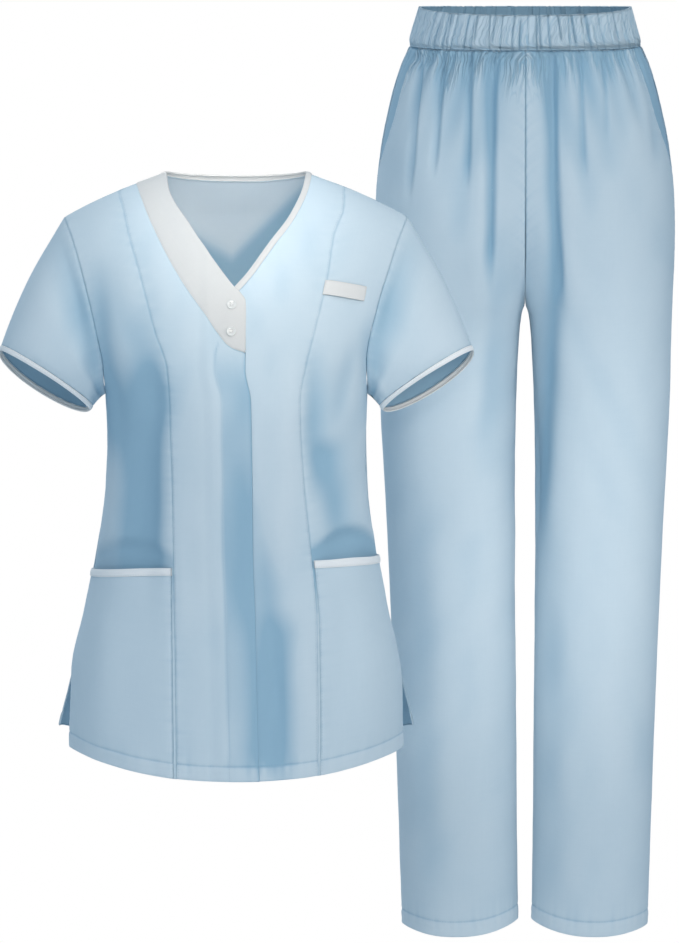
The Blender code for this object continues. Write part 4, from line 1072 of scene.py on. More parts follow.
class TorsoForm:
    """Filled-out body of the top. Angle 0 is the left side, pi the right, on the front and back face alike."""

    ridge_width = 0.0012
    ridge_reach = 0.004
    backed_off = 0.1

    def half_width(self, face: Face, angle: Array, height: Array) -> Array:
        """Half the width of the ring that the face and side belong to."""
        below = TORSO.at(height, "half_front" if face is Face.FRONT else "half_back")
        seam = np.where(np.cos(angle) < 0.0, ARMHOLE.at(height, "right"), ARMHOLE.at(height, "left"))
        turn = np.radians(ARMHOLE.at(height, "turn"))
        above = seam / np.cos(turn) ** (2.0 / TORSO.at(height, "square"))
        return np.where(height <= UNDERARM, below, above)

    def bare_point(self, face: Face, angle: Array, height: Array) -> Array:
        """Points of the smooth form, without folds."""
        angle, height = np.broadcast_arrays(np.asarray(angle, float), np.asarray(height, float))
        power = 2.0 / TORSO.at(height, "square")
        x = self.half_width(face, angle, height) * signed_power(np.cos(angle), power)
        depth = TORSO.at(height, "front" if face is Face.FRONT else "back")
        below = np.maximum(0.0, SHOULDER.at(np.abs(x), "height") - height)
        drop = 1.0 - np.minimum(1.0, below / SHOULDER_DROP)
        rounding = (1.0 - drop**SHOULDER_ROUND) ** (1.0 / SHOULDER_ROUND)
        y = depth * rounding * signed_power(np.sin(angle), power) + SEAM_GAP / 2.0
        return np.stack((x, face.value * y, height), axis=-1)

    def normal(self, face: Face, angle: Array, height: Array) -> Array:
        """Normals of the form. Along the shoulder line both faces share the ridge's own normal."""
        place = self.bare_point(face, angle, height)
        outward = place * (1.0, 1.0, 0.0) + (0.0, 0.0, self.backed_off)
        normal = form_normal(lambda a, h: self.bare_point(face, a, h), angle, height, outward)
        far, near = np.abs(place[..., 0]) + self.ridge_reach, np.abs(place[..., 0]) - self.ridge_reach
        slope = (SHOULDER.at(far, "height") - SHOULDER.at(near, "height")) / (2.0 * self.ridge_reach)
        ridge = np.stack((-np.sign(place[..., 0]) * slope, np.zeros_like(slope), np.ones_like(slope)), axis=-1)
        below = SHOULDER.at(np.abs(place[..., 0]), "height") - place[..., 2]
        return np.where((below < self.ridge_width)[..., None], unit(ridge), normal)

    def relief(self, face: Face, place: Array, even: bool = False) -> Array:
        """Height of the creases and the faint unevenness, which the side seams hold unless it is even."""
        x, height = place[..., 0], place[..., 2]
        calm = smooth_step((SHOULDER.at(np.abs(x), "height") - height) / 0.05)
        total = creased(FRONT_CREASES if face is Face.FRONT else BACK_CREASES, x, height)
        if not even:
            half = self.half_width(face, np.where(x > 0.0, 0.0, np.pi), height)
            total *= smooth_step((half - np.abs(x)) / 0.012)
        return total + rumple(x, height, 0.0007, 11 if face is Face.FRONT else 12) * calm

    def surface(self, face: Face, angle: Array, height: Array, lift: Values = 0.0) -> Array:
        """Points of the cloth, whose outer side stands off the creased form by the lift."""
        place = self.bare_point(face, angle, height)
        rise = self.relief(face, place) + lift
        return place + self.normal(face, angle, height) * np.asarray(rise)[..., None]

    def angle_at(self, face: Face, x: Array, height: Array) -> Array:
        """Angle at which the face reaches a distance from the middle."""
        x = np.asarray(x, float)
        half = self.half_width(face, np.where(x > 0.0, 0.0, np.pi), height)
        turn = np.arccos(np.minimum(1.0, np.abs(x) / half) ** (TORSO.at(height, "square") / 2.0))
        return np.where(x > 0.0, turn, np.pi - turn)

    def laid(self, face: Face, x: Array, height: Array, lift: Values = 0.0) -> Array:
        """Points of the cloth at distances from the middle."""
        return self.surface(face, self.angle_at(face, x, height), height, lift)

    def edge_angle(self, side: Side, height: Array) -> Array:
        """Angle of the side seam, the armhole above it and the vent below it."""
        vent = VENT_ANGLE * smooth_step((VENT_TOP - height) / (VENT_TOP - FRONT_HEM[0]))
        turn = np.radians(np.where(height > UNDERARM, ARMHOLE.at(height, "turn"), vent))
        return turn if side is Side.LEFT else np.pi - turn


TORSO_FORM = TorsoForm()
TORSO_MIDDLE = np.array((0.0, 0.0, -0.3))


def hem_line(level: float, rise: float) -> Edge:
    """Height of a hem that curves up to the side vents, over the distance from the middle."""
    return lambda x: level + rise * (np.abs(x) / HEM_HALF_WIDTH) ** HEM_CURVE


def shoulder_place(x: Values) -> Array:
    """Places on the shoulder seam at distances from the middle."""
    x = np.atleast_1d(np.asarray(x, float))
    return np.stack((x, SHOULDER.at(np.abs(x), "height")), axis=-1)


def beside(curve: SizeTable, share: Values, distance: float) -> Array:
    """Places beside a curve, on the right of its run, and never above the shoulder line.

    Args:
        curve: The curve.
        share: Shares of its length.
        distance: Distance from it.

    Returns:
        Places as x and height.
    """
    share = np.atleast_1d(np.asarray(share, float))
    start, end = np.maximum(0.0, share - 0.01), np.minimum(1.0, share + 0.01)
    run = unit(np.stack([curve.at(end, k) - curve.at(start, k) for k in ("x", "height")], axis=-1))
    x = curve.at(share, "x") + run[:, 1] * distance
    height = curve.at(share, "height") - run[:, 0] * distance
    return np.stack((x, np.minimum(height, SHOULDER.at(np.abs(x), "height"))), axis=-1)


def share_where(place_at: Edge, x: Array) -> Array:
    """Shares of a curve that runs towards the left at which it reaches distances from the middle."""
    shares = np.linspace(0.0, 1.0, 1601)
    return np.interp(x, place_at(shares)[:, 0], shares)


def band_edge(share: Array) -> Array:
    """Places on the neck band's outer edge."""
    return np.stack((BAND_OUTER.at(share, "x"), BAND_OUTER.at(share, "height")), axis=-1)


def binding_edge(share: Array) -> Array:
    """Places on the edge of the binding that the front is sewn to."""
    return beside(BINDING_INNER, share, BINDING_WIDTH)


def back_neck(share: Array, half_width: float, height: float) -> Array:
    """Places on a curve round the back of the neck, share from -1 at the right to 1 at the left."""
    end = float(SHOULDER.at(half_width, "height"))
    return np.stack((share * half_width, mix(height, end, np.abs(share) ** BACK_NECK_CURVE)), axis=-1)


def lap_lift(x: Array, height: Array) -> Array:
    """Height that the lapping front stands over the underlap."""
    start, end = LAP_RAMP
    underlap_edge = SEAMS.at(height, "lap_edge") - UNDERLAP
    return LAP_LIFT * smooth_step((x - underlap_edge + start) / (start - end))


@dataclass(frozen=True)
class Section:
    """Stretch of a panel between two edges, with the upper ends of its columns as (x, height)."""

    start: Edge
    end: Edge
    heads: Array


@dataclass
class Panel:
    """Panel of the body of the top: its cloth, and which rows its pocket mouth and band have."""

    face: Face
    sections: Sequence[Section]
    lift: Callable[[Array, Array], Array] | None = None
    skirt_rows: int = 22
    pocket_rows: int = 30
    band_rows: int = 5
    waist_rows: int = 44
    shelf_rows: int = 12
    chest_rows: int = 46

    def __post_init__(self) -> None:
        """Works out the cloth's points."""
        columns = [self._columns(section) for section in self.sections]
        columns[1:] = [(angle[:, 1:], height[:, 1:]) for angle, height in columns[1:]]
        angle, height = (np.concatenate(grids, axis=1) for grids in zip(*columns))
        self.mouth_row = len(HEM_STEPS) - 1 + self.skirt_rows + self.pocket_rows + self.band_rows
        place = TORSO_FORM.bare_point(self.face, angle, height)
        points = TORSO_FORM.surface(self.face, angle, height, self.lift(place[..., 0], height) if self.lift else 0.0)
        # The creases and faint unevenness, running on past the seams, set the panel's painted shade.
        self.grid = oriented(points, TORSO_MIDDLE, relief=TORSO_FORM.relief(self.face, place, True))

    def _columns(self, section: Section) -> Line:
        """Angles and heights of a section's columns."""
        x, head = section.heads[:, 0], section.heads[:, 1]
        start, end = section.start(head), section.end(head)
        share = np.clip((TORSO_FORM.angle_at(self.face, x, head) - start) / (end - start), 0.0, 1.0)
        share[0], share[-1] = np.round(share[0], 3), np.round(share[-1], 3)

        def angle_of(height: Array) -> Array:
            """Angles of the columns at their heights."""
            return mix(section.start(height), section.end(height), share)

        def level(edge: Edge) -> Array:
            """Heights at which the columns meet an edge across them."""
            height = np.full(len(share), FRONT_HEM[0])
            for _ in range(8):
                height = edge(TORSO_FORM.bare_point(self.face, angle_of(height), height)[:, 0])
            return height

        hem = level(hem_line(*(FRONT_HEM if self.face is Face.FRONT else BACK_HEM)))
        mouth, shelf = level(lambda place: MOUTH.at(place, "height")), SHOULDER_ROWS[-1]
        rows = [hem + step for step in HEM_STEPS]
        rows += ladder(rows[-1], VENT_TOP, self.skirt_rows)
        rows += ladder(VENT_TOP, mouth - POCKET_BAND_WIDTH, self.pocket_rows)
        rows += ladder(mouth - POCKET_BAND_WIDTH, mouth, self.band_rows)
        rows += ladder(mouth, UNDERARM, self.waist_rows)
        rows += [np.full(len(share), row) for row in ladder(UNDERARM, shelf, self.shelf_rows)]
        even = np.linspace(0.0, 1.0, self.chest_rows + 1)[1:]
        rows += [mix(shelf, head, rise) for rise in mix(even, np.sin(even * np.pi / 2.0), 0.8)]
        heights = np.stack(rows)
        return np.stack([angle_of(row) for row in heights]), heights


def dips(grid: ClothGrid, start: float = 0.0, end: float = 0.0, low: float = 0.0, high: float = 0.0,
         seed: int = 0) -> Array:
    """Relief beside the seamed edges of a piece of cloth: a narrow valley at the seam, and puckers beside it.

    Args:
        grid: The cloth.
        start: Depth of the valley at the first column, or 0 for none.
        end: Depth at the last column.
        low: Depth at the first row.
        high: Depth at the last row.
        seed: Makes the puckers of one piece different from another's.

    Returns:
        Height of the relief at every point.
    """
    total = np.zeros(grid.points.shape[:2])
    edges = ((start, grid.across, grid.up), (end, grid.to_end, grid.up),
             (low, grid.up, grid.across), (high, grid.to_top, grid.across))
    for number, (depth, distance, along) in enumerate(edges):
        if depth:
            total -= depth * bell(distance, 0.0011)
            total += pucker(distance, along, depth * 0.28, seed * 4 + number)
    return total


def hem_relief(grid: ClothGrid, seed: int) -> Array:
    """Relief of a folded hem: a furrow along its stitches, a soft roll below it, and puckers."""
    roll = 0.0004 * smooth_step((HEM_STITCH - grid.up) / 0.004) * smooth_step(grid.up / 0.0015)
    puckers = pucker(np.abs(grid.up - HEM_STITCH * 0.7), grid.across, 0.00022, seed)
    return roll + puckers - 0.00045 * bell(grid.up - HEM_STITCH, 0.0011)


def hem_wall(grid: ClothGrid, extra: float = 0.0009) -> Array:
    """Thickness of cloth whose hem is folded."""
    return WALL + extra * smooth_step((HEM_STITCH - grid.up) / 0.002)


def front_seam(column: str, sign: int, shift: float) -> Edge:
    """Angle of a seam of the fronts at a height, moved by the shift along X."""
    return lambda height: TORSO_FORM.angle_at(Face.FRONT, sign * SEAMS.at(height, column) + shift, height)


def crowned(across: Array, height: float, edge: float = 0.5) -> Array:
    """Rise of a strip that is fuller along its middle, for shares across it from 0 to 1."""
    return height * (1.0 - np.abs(2.0 * across - 1.0) ** (1.0 / edge + 0.6))


@dataclass
class Top(Garment):
    """Short-sleeved top: panels, neck band and binding, sleeves, pockets, chest strap and buttons."""

    seam_depth: float = 0.00045
    shoulder_depth: float = 0.0006
    pocket_gape: float = 0.0032
    pocket_seam: float = 0.0006
    mouth_hollow: tuple[float, float] = (0.007, 0.04)
    # Painted shade above the pocket mouths.
    mouth_painted_shade: float = 0.007
    placket: float = 0.033
    # Painted shade on the placket strip.
    placket_painted_shade: float = 0.0044
    placket_top: float = -0.178
    lap_wall_top: float = -0.19
    binding_end: tuple[float, float] = (0.0828, 0.0834)
    # Painted light that lightens the pocket and cuff bands towards white.
    neck_trim_painted_shade: float = 0.004
    # Painted shade that greys the neck band and binding evenly.
    trim_painted_light: float = 0.006
    # Painted shade on the inner back: start, level, rise to the right and to the left, and softness of its V-shaped
    # edge.
    inner_shade: tuple[float, ...] = (-0.005, -0.092, 0.57, 1.05, 0.03)
    side_columns: int = 34
    sleeve_columns: int = 144
    sleeve_rows: int = 52
    underarm_fill: float = 0.0015
    tab_centre: tuple[float, float] = (0.1187, -0.1218)
    tab_size: tuple[float, float] = (0.0463, 0.0155)
    tab_tilt: float = -11.0
    tab_bow: float = 0.0022
    button_hole: float = 0.0007
    button_hole_ring: float = 0.00184
    button_sharp: float = 38.0
    button_places: tuple[tuple[str, float, float], ...] = (
        ("button_upper", -0.0047, -0.1352),
        ("button_lower", -0.0052, -0.1640),
    )

    def build(self) -> None:
        """Builds and dresses every piece of the top."""
        for side in Side:
            self.side_front(side)
            self.sleeve(side)
        self.centre_fronts()
        self.back()
        self.neck_band()
        self.neck_binding()
        self.chest_tab()
        for name, x, height in self.button_places:
            self.button(name, x, height)

    def side_front(self, side: Side) -> None:
        """Side front, and on it the pocket with the band on its mouth.

        Args:
            side: Side of the wearer.
        """
        sign, word = side.value, side.word
        shift = VISIBLE_GAP / 2.0
        seam = sign * (float(SEAMS.at(0.0, f"princess_{word}")) + shift)
        heads = shoulder_place(mix(seam, sign * float(ARMHOLE.at(0.0, word)), crowded(self.side_columns)))
        edge = partial(TORSO_FORM.edge_angle, side)
        panel = Panel(Face.FRONT, [Section(front_seam(f"princess_{word}", sign, sign * shift), edge, heads)])
        base, mouth_row = panel.grid, panel.mouth_row
        seams = dips(base, self.seam_depth, self.seam_depth, high=0.0005, seed=21 + sign)
        sink, reach = self.mouth_hollow
        arch = np.maximum(0.0, np.sin(np.pi * base.across / base.across[:, -1:]))
        above = (base.points[..., 2] - base.points[mouth_row][:, 2]) / reach
        sunk = np.where(above > 0.0, smooth_step(2.6 * (0.55 + 0.45 * arch - above)), bell(above, 1.0))
        # Painted shade above the pocket mouth, weaker on the right.
        base.relief = base.relief - (self.mouth_painted_shade if side is Side.LEFT else 0.4 * self.mouth_painted_shade) * sunk
        cloth = base.raised(-sink * sunk * arch**0.8).raised(seams, SEAM_SHADE)
        self.finish(f"front_side_{word}", cloth, (), hem_wall(base))

        pocket = base.part(slice(0, mouth_row + 1), slice(2, self.side_columns - 2))
        arch = np.sin(np.pi * (pocket.across / pocket.across[:, -1:]))
        slack = self.pocket_gape * arch**1.3 * smooth_step(1.0 - pocket.to_top / 0.085) ** 1.6
        swell = 0.0016 * arch * np.sin(np.pi * np.clip(pocket.up / pocket.up[-1:], 0.0, 1.0))
        layer = mix(WALL * 0.7, POCKET_LAYER, smooth_step(np.minimum(pocket.across, pocket.to_end) / 0.006))
        flat = pocket.raised(layer + slack + swell)
        relief = dips(flat, self.pocket_seam, self.pocket_seam, seed=31 + sign) + hem_relief(flat, 41 + sign)
        cloth = flat.raised(relief, SEAM_SHADE)
        sides = [cloth.column_line(self.topstitch, from_end) for from_end in (False, True)]
        self.finish(f"pocket_{word}", cloth, [*sides, cloth.row_line(HEM_STITCH)])

        band = flat.part(slice(mouth_row - panel.band_rows, mouth_row + 1), slice(None)).with_rows(10)
        strip = band.raised(0.0007 + crowned(band.up / band.up[-1:], 0.0009, 0.45))
        # Painted light: the band's colour is lightened towards white.
        strip.relief = self.trim_painted_light
        self.finish(f"pocket_band_{word}", strip, [strip.row_line(0.0014)], 0.0022, cloth=Finish.WHITE)

    def centre_fronts(self) -> None:
        """Centre fronts. The right one laps over the left one."""
        gap, shift = VISIBLE_GAP, VISIBLE_GAP / 2.0
        ramp = front_seam("lap_edge", 1, -UNDERLAP - LAP_RAMP[0])
        underlap, lap = front_seam("lap_edge", 1, -UNDERLAP), front_seam("lap_edge", 1, 0.0)
        lap_x = float(BAND_INNER.at(1.0, "x"))
        underlap_x, ramp_x = lap_x - UNDERLAP, lap_x - UNDERLAP - LAP_RAMP[0]

        def band_seam(x: Array) -> Array:
            """Upper ends of columns that meet the neck band."""
            return beside(BAND_OUTER, share_where(band_edge, x), gap)

        seam_x = shift - float(SEAMS.at(0.0, "princess_right"))
        shoulder = shoulder_place(mix(seam_x, -BAND_SHOULDER - gap, crowded(8)[:-1]))
        near = band_seam(mix(-BAND_SHOULDER, ramp_x, crowded(34, 0.5)))
        tip = np.array([[lap_x, float(BAND_OUTER.at(1.0, "height")) - gap]])
        last = band_seam(mix(underlap_x, lap_x - 0.0008, crowded(13, 0.6)))
        base = Panel(Face.FRONT, [
            Section(front_seam("princess_right", -1, shift), ramp, np.concatenate((shoulder, near))),
            Section(ramp, underlap, band_seam(np.linspace(ramp_x, underlap_x, 9))),
            Section(underlap, lap, np.concatenate((last, tip))),
        ], lap_lift).grid
        height = base.points[..., 2]
        relief = dips(base, self.seam_depth, 0.0, high=self.shoulder_depth, seed=51) + hem_relief(base, 52)
        relief -= 0.0005 * bell(base.to_end - self.placket, 0.0011) * smooth_step(base.to_top / 0.02)
        cloth = base.raised(relief - 0.0007 * bell(base.to_end, 0.0016), SEAM_SHADE)
        # Painted shade on the placket strip below its top, weaker near the hem.
        folded = smooth_step((self.placket - base.to_end) / 0.003) * smooth_step((self.placket_top - height) / 0.05)
        cloth.relief = cloth.relief - self.placket_painted_shade * folded * mix(0.35, 1.0, smooth_step((height + 0.56) / 0.14))
        line, facing = cloth.column_line(self.placket, True)
        below = line[:, 2] < self.placket_top
        lines = [cloth.column_line(self.topstitch), cloth.row_line(HEM_STITCH), (line[below], facing[below])]
        wall = WALL + 0.0008 * smooth_step((self.placket - base.to_end) / 0.0015) * (height < self.lap_wall_top)
        self.finish("front_centre_right", cloth, lines, np.minimum(wall, 0.0016) + hem_wall(base, 0.0003) - WALL)

        def binding_seam(x: Array) -> Array:
            """Upper ends of columns that meet the binding."""
            return beside(BINDING_INNER, share_where(binding_edge, x), BINDING_WIDTH + gap)

        middle_x = lap_x - UNDERLAP / 2.0
        start = binding_seam(np.array([middle_x]))
        corner = np.array([[underlap_x, start[0, 1] - UNDERLAP_CORNER_DROP]])
        slope = mix(corner, start, np.linspace(0.0, 1.0, 6)[:-1, None])
        under = np.concatenate((slope, binding_seam(np.linspace(middle_x, lap_x, 6))))
        over = binding_seam(mix(lap_x, self.binding_end[0], crowded(32, 0.5)))
        seam_x = float(SEAMS.at(0.0, "princess_left")) - shift
        rest = shoulder_place(mix(self.binding_end[1], seam_x, crowded(11)))
        left = front_seam("princess_left", 1, -shift)
        base = Panel(Face.FRONT, [Section(underlap, lap, under), Section(lap, left, np.concatenate((over, rest)))]).grid
        relief = dips(base, 0.0, self.seam_depth, high=self.shoulder_depth, seed=61) + hem_relief(base, 62)
        cloth = base.raised(relief, SEAM_SHADE)
        self.finish("front_centre_left", cloth, [cloth.column_line(self.topstitch, True), cloth.row_line(HEM_STITCH)])

    def back(self) -> None:
        """Back of the top, in one piece."""
        half = float(binding_edge(1.0)[0, 0]) + VISIBLE_GAP
        neck = back_neck(np.linspace(-1.0, 1.0, 45), half, BACK_NECK_HEIGHT - BINDING_WIDTH - VISIBLE_GAP)
        right, left = (shoulder_place(side.value * mix(half, float(ARMHOLE.at(0.0, side.word)), crowded(30)[1:]))
                       for side in Side)
        edges = [partial(TORSO_FORM.edge_angle, side) for side in Side]
        base = Panel(Face.BACK, [Section(*edges, np.concatenate((right[::-1], neck, left)))]).grid
        relief = dips(base, self.seam_depth, self.seam_depth, high=self.shoulder_depth, seed=71) + hem_relief(base, 72)
        cloth = base.raised(relief, SEAM_SHADE)
        lines = [cloth.row_line(HEM_STITCH), cloth.row_line(self.topstitch, True)]
        # Inner side of the back: painted light above, and a painted shadow below a V-shaped line under the neckline.
        x, height = base.points[..., 0], base.points[..., 2]
        start, level, rise_right, rise_left, soft = self.inner_shade
        edge = level + np.where(x > start, rise_left, -rise_right) * (x - start)
        self.finish("back", cloth, lines, hem_wall(base), mix(-0.8, 1.0, smooth_step((edge - height) / soft + 0.5)))

    def neck_band(self) -> None:
        """Wide band down the right of the neck, whose end is the top of the lapping front's edge."""
        share, across = crowded(150, 0.5)[:, None], crowded(16, 0.8)[None]
        x, height = (mix(BAND_INNER.at(share, key), BAND_OUTER.at(share, key), across) for key in ("x", "height"))
        height = np.minimum(height, SHOULDER.at(np.abs(x), "height"))
        base = oriented(TORSO_FORM.laid(Face.FRONT, x, height, lap_lift(x, height) + 0.0003), TORSO_MIDDLE)
        relief = -0.0008 * bell(base.across, 0.0012) - 0.0007 * bell(base.to_end, 0.0012)
        relief += pucker(base.to_end, base.up, 0.00022, 81) + pucker(base.across, base.up, 0.00012, 82)
        cloth = base.raised(relief)
        lines = [(line[4:-12], facing[4:-12])
                 for line, facing in (cloth.column_line(0.0022), cloth.column_line(0.0018, True))]
        # Painted shade: the band is greyed evenly.
        cloth.relief = -self.neck_trim_painted_shade
        self.finish("neck_band", cloth, lines, 0.0016, cloth=Finish.WHITE)

    def neck_binding(self) -> None:
        """Narrow binding up the left of the neck and round the back."""
        middle_x = float(BAND_INNER.at(1.0, "x")) - UNDERLAP / 2.0
        start = float(share_where(binding_edge, np.array([middle_x]))[0])
        strips, rows = crowded(9, 0.5), []
        for share in mix(start, 1.0, crowded(90, 0.3)):
            places = np.concatenate([beside(BINDING_INNER, share, BINDING_WIDTH * strip) for strip in strips])
            rows.append(TORSO_FORM.laid(Face.FRONT, places[:, 0], places[:, 1]))
        half = mix(float(BINDING_INNER.at(1.0, "x")), float(binding_edge(1.0)[0, 0]), strips)
        low = mix(BACK_NECK_HEIGHT, BACK_NECK_HEIGHT - BINDING_WIDTH, strips)
        for share in mix(1.0, -1.0, crowded(96, 0.6))[1:]:
            places = np.concatenate([back_neck(np.array([share]), h, z) for h, z in zip(half, low)])
            rows.append(TORSO_FORM.laid(Face.BACK, places[:, 0], places[:, 1]))
        base = oriented(np.stack(rows), TORSO_MIDDLE)
        share = base.across / base.across[:, -1:]
        cloth = base.raised(0.0001 + crowned(share, 0.0009, 0.5) + pucker(base.across * 0.0, base.up, 0.00008, 83))
        lines = [cloth.column_line(0.0015, True)]
        # Painted shade: the binding is greyed evenly.
        cloth.relief = -self.neck_trim_painted_shade
        self.finish("neck_binding", cloth, lines, 0.0017, cloth=Finish.WHITE)

    def cuff_points(self, side: Side, turn: Array) -> Array:
        """Points of the sleeve's opening.

        Args:
            side: Side of the wearer.
            turn: Turns round it: 0 at the underarm, a half turn at the outer corner.

        Returns:
            The points.
        """
        outer, inner = (np.array((side.value * x, 0.0, height)) for x, height in (CUFF_OUTER, CUFF_INNER))
        run = (outer - inner) / 2.0
        out_of_sleeve = -unit(np.array((side.value * -run[2], 0.0, side.value * run[0])))
        tilt = np.where(np.sin(turn) > 0.0, *CUFF_TILTS) * np.abs(np.sin(turn))
        depth = np.stack((np.zeros_like(turn), -CUFF_HALF_DEPTH * np.sin(turn), np.zeros_like(turn)), axis=-1)
        return (outer + inner) / 2.0 - run * np.cos(turn)[:, None] + depth + out_of_sleeve * tilt[:, None]

    def sleeve(self, side: Side) -> None:
        """Set-in sleeve and the band round its opening.

        Args:
            side: Side of the wearer.
        """
        sign, word = side.value, side.word
        tip = float(shoulder_place(float(ARMHOLE.at(0.0, word)))[0, 1])
        heights = [UNDERARM, *SHOULDER_ROWS, *(mix(SHOULDER_ROWS[-1], tip, s) for s in SHOULDER_SHARES)]
        last = len(heights) - 1
        place = np.linspace(0.0, 2.0 * last, self.sleeve_columns + 1)
        climb = SizeTable(("height",), list(enumerate(heights)))
        height = climb.at(np.minimum(place, 2.0 * last - place), "height")
        angle = TORSO_FORM.edge_angle(side, height)
        front = (place <= last)[:, None]
        start, facing = (np.where(front, at(Face.FRONT, angle, height), at(Face.BACK, angle, height))
                         for at in (TORSO_FORM.surface, TORSO_FORM.normal))
        turn = np.pi * place / last
        end = self.cuff_points(side, turn)
        away = unit(end - start)
        away = away - facing * np.minimum(0.0, np.sum(away * facing, axis=-1))[:, None]
        start = start + unit(away) * VISIBLE_GAP
        bulge_up, bulge_side = SLEEVE_BULGES
        up_out = np.array((sign * 0.9, 0.0, 0.45)) * (bulge_up * np.maximum(0.0, -np.cos(turn)))[:, None]
        aside = np.array((0.0, -1.0, 0.0)) * (bulge_side * np.sin(turn))[:, None]
        bend = (start + end) / 2.0 + up_out + aside
        share = mix(np.linspace(0.0, 1.0, self.sleeve_rows + 1), crowded(self.sleeve_rows), 0.6)[:, None, None]
        points = start * (1.0 - share) ** 2 + bend * 2.0 * share * (1.0 - share) + end * share**2
        middle = np.mean(points, axis=1, keepdims=True)
        base = oriented(points, middle, True)
        around, down = np.broadcast_arrays(turn / (2.0 * np.pi), share[..., 0])
        folds = creased(SLEEVE_CREASES, around, down)
        wobble = rumple(around * 0.3, base.up, 0.0005, 91 + sign) * np.sin(2.0 * np.pi * around) ** 2
        relief = (folds + wobble) * smooth_step(base.up / 0.02) * smooth_step(base.to_top / 0.012 + 0.2)
        relief += self.underarm_fill * bell(np.minimum(around, 1.0 - around), 0.06) * bell(down, 0.3)
        # The folds set the sleeve's painted shade.
        base.relief = folds
        seams = dips(base, low=self.seam_depth, high=0.0006, seed=93 + sign)
        cloth = base.raised(relief).raised(seams, SEAM_SHADE)
        # The inner side of the sleeve is painted in full shade.
        self.finish(f"sleeve_{word}", cloth, [cloth.row_line(0.0022)], inside=1.0)

        run = unit(points[-1] - points[-2])
        ring = [points[-1] + run * (VISIBLE_GAP + CUFF_BAND_WIDTH * strip) for strip in crowded(9, 0.5)]
        base = oriented(np.stack(ring), middle[-1:], True)
        strip = base.raised(0.0002 + crowned(base.up / base.up[-1:], 0.0009, 0.5))
        # Painted light: the band's colour is lightened towards white.
        strip.relief = self.trim_painted_light
        self.finish(f"cuff_band_{word}", strip, [strip.row_line(0.0014)], 0.0018, cloth=Finish.WHITE)

    def chest_tab(self) -> None:
        """Small strap on the left chest, sewn down at both ends and slightly proud between them."""
        tilt = math.radians(self.tab_tilt)
        length, width = self.tab_size
        along, across = np.meshgrid((crowded(44, 0.6) - 0.5) * length, (crowded(18, 0.7) - 0.5) * width)
        x = self.tab_centre[0] + along * math.cos(tilt) - across * math.sin(tilt)
        height = self.tab_centre[1] + along * math.sin(tilt) + across * math.cos(tilt)
        lift = SEAM_GAP + 0.0012 + self.tab_bow * (1.0 - (2.0 * along / length) ** 4)
        base = oriented(TORSO_FORM.laid(Face.FRONT, x, height, lift), TORSO_MIDDLE)
        cloth = base.raised(dips(base, 0.0004, 0.0004, 0.0004, 0.0004, seed=95))
        lines = [line(inset, far) for line, inset in ((cloth.column_line, 0.002), (cloth.row_line, 0.0016))
                 for far in (False, True)]
        self.finish("chest_tab", cloth, lines, 0.0012, cloth=Finish.WHITE)

    def button(self, name: str, x: float, height: float) -> None:
        """Four-hole button with a raised rim and a dished face, and the thread that holds it.

        Args:
            name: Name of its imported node.
            x: Distance from the middle.
            height: Height.
        """
        radius, thick, rim, dish, soft = 0.0055, 0.0024, 0.0012, 0.0007, 0.0004
        spot = np.array(x), np.array(height)
        place = TORSO_FORM.laid(Face.FRONT, *spot, lap_lift(*spot) + 0.0004)
        facing = Vector(TORSO_FORM.normal(Face.FRONT, TORSO_FORM.angle_at(Face.FRONT, *spot), spot[1]))
        profile = [(0.0, thick - dish), (radius - 2.0 * rim, thick - dish), (radius - 1.6 * rim, thick - dish * 0.8),
                   (radius - 1.1 * rim, thick - 0.0001), (radius - 0.7 * rim, thick),
                   (radius - soft, thick - 0.00008), (radius - 0.4 * soft, thick - 0.5 * soft),
                   (radius, thick - 1.3 * soft), (radius, soft), (radius - soft, 0.0), (0.0, 0.0)]
        bm = bmesh.new()
        line = [bm.verts.new((r, 0.0, z)) for r, z in profile]
        edges = [bm.edges.new(pair) for pair in zip(line, line[1:])]
        bmesh.ops.spin(bm, geom=line + edges, cent=(0.0, 0.0, 0.0), axis=(0.0, 0.0, 1.0), angle=2.0 * math.pi,
                       steps=56, use_merge=True)
        bmesh.ops.remove_doubles(bm, verts=bm.verts, dist=0.00001)
        bmesh.ops.recalc_face_normals(bm, faces=bm.faces)
        button = new_object(f"{name}_moulded", mesh_of(bm, f"{name}_turned"))
        turns = np.pi * (np.arange(4) * 0.5 + 0.25)
        holes = [Vector((math.cos(turn), math.sin(turn), 0.0)) * self.button_hole_ring for turn in turns]
        self.pierce(button, holes, thick)
        thread = self.button_thread(f"{name}_thread", holes, thick - dish)
        seat = Matrix.Translation(Vector(place)) @ facing.to_track_quat("Z", "Y").to_matrix().to_4x4()
        for piece in (button, thread):
            piece.data.transform(seat)
        button.data.shade_smooth()
        button.data.set_sharp_from_angle(angle=math.radians(self.button_sharp))
        dress(button, Finish.PLASTIC, (name,))
        dress(thread, Finish.WHITE_THREAD)

    def pierce(self, button: Object, holes: Sequence[Vector], thick: float) -> None:
        """Cuts round holes through a button's mesh.

        Args:
            button: The button.
            holes: Middles of the holes.
            thick: Thickness of the button.
        """
        bm = bmesh.new()
        for hole in holes:
            place = Matrix.Translation(hole + Vector((0.0, 0.0, thick / 2.0)))
            bmesh.ops.create_cone(bm, cap_ends=True, segments=18, radius1=self.button_hole, radius2=self.button_hole,
                                  depth=3.0 * thick, matrix=place)
        cutter = new_object("button_holes", mesh_of(bm, "button_holes"))
        button.modifiers.new("holes", "BOOLEAN").object = cutter
        evaluated = button.evaluated_get(bpy.context.evaluated_depsgraph_get())
        pierced = bpy.data.meshes.new_from_object(evaluated)
        button.modifiers.clear()
        button.data = pierced
        bpy.data.objects.remove(cutter)

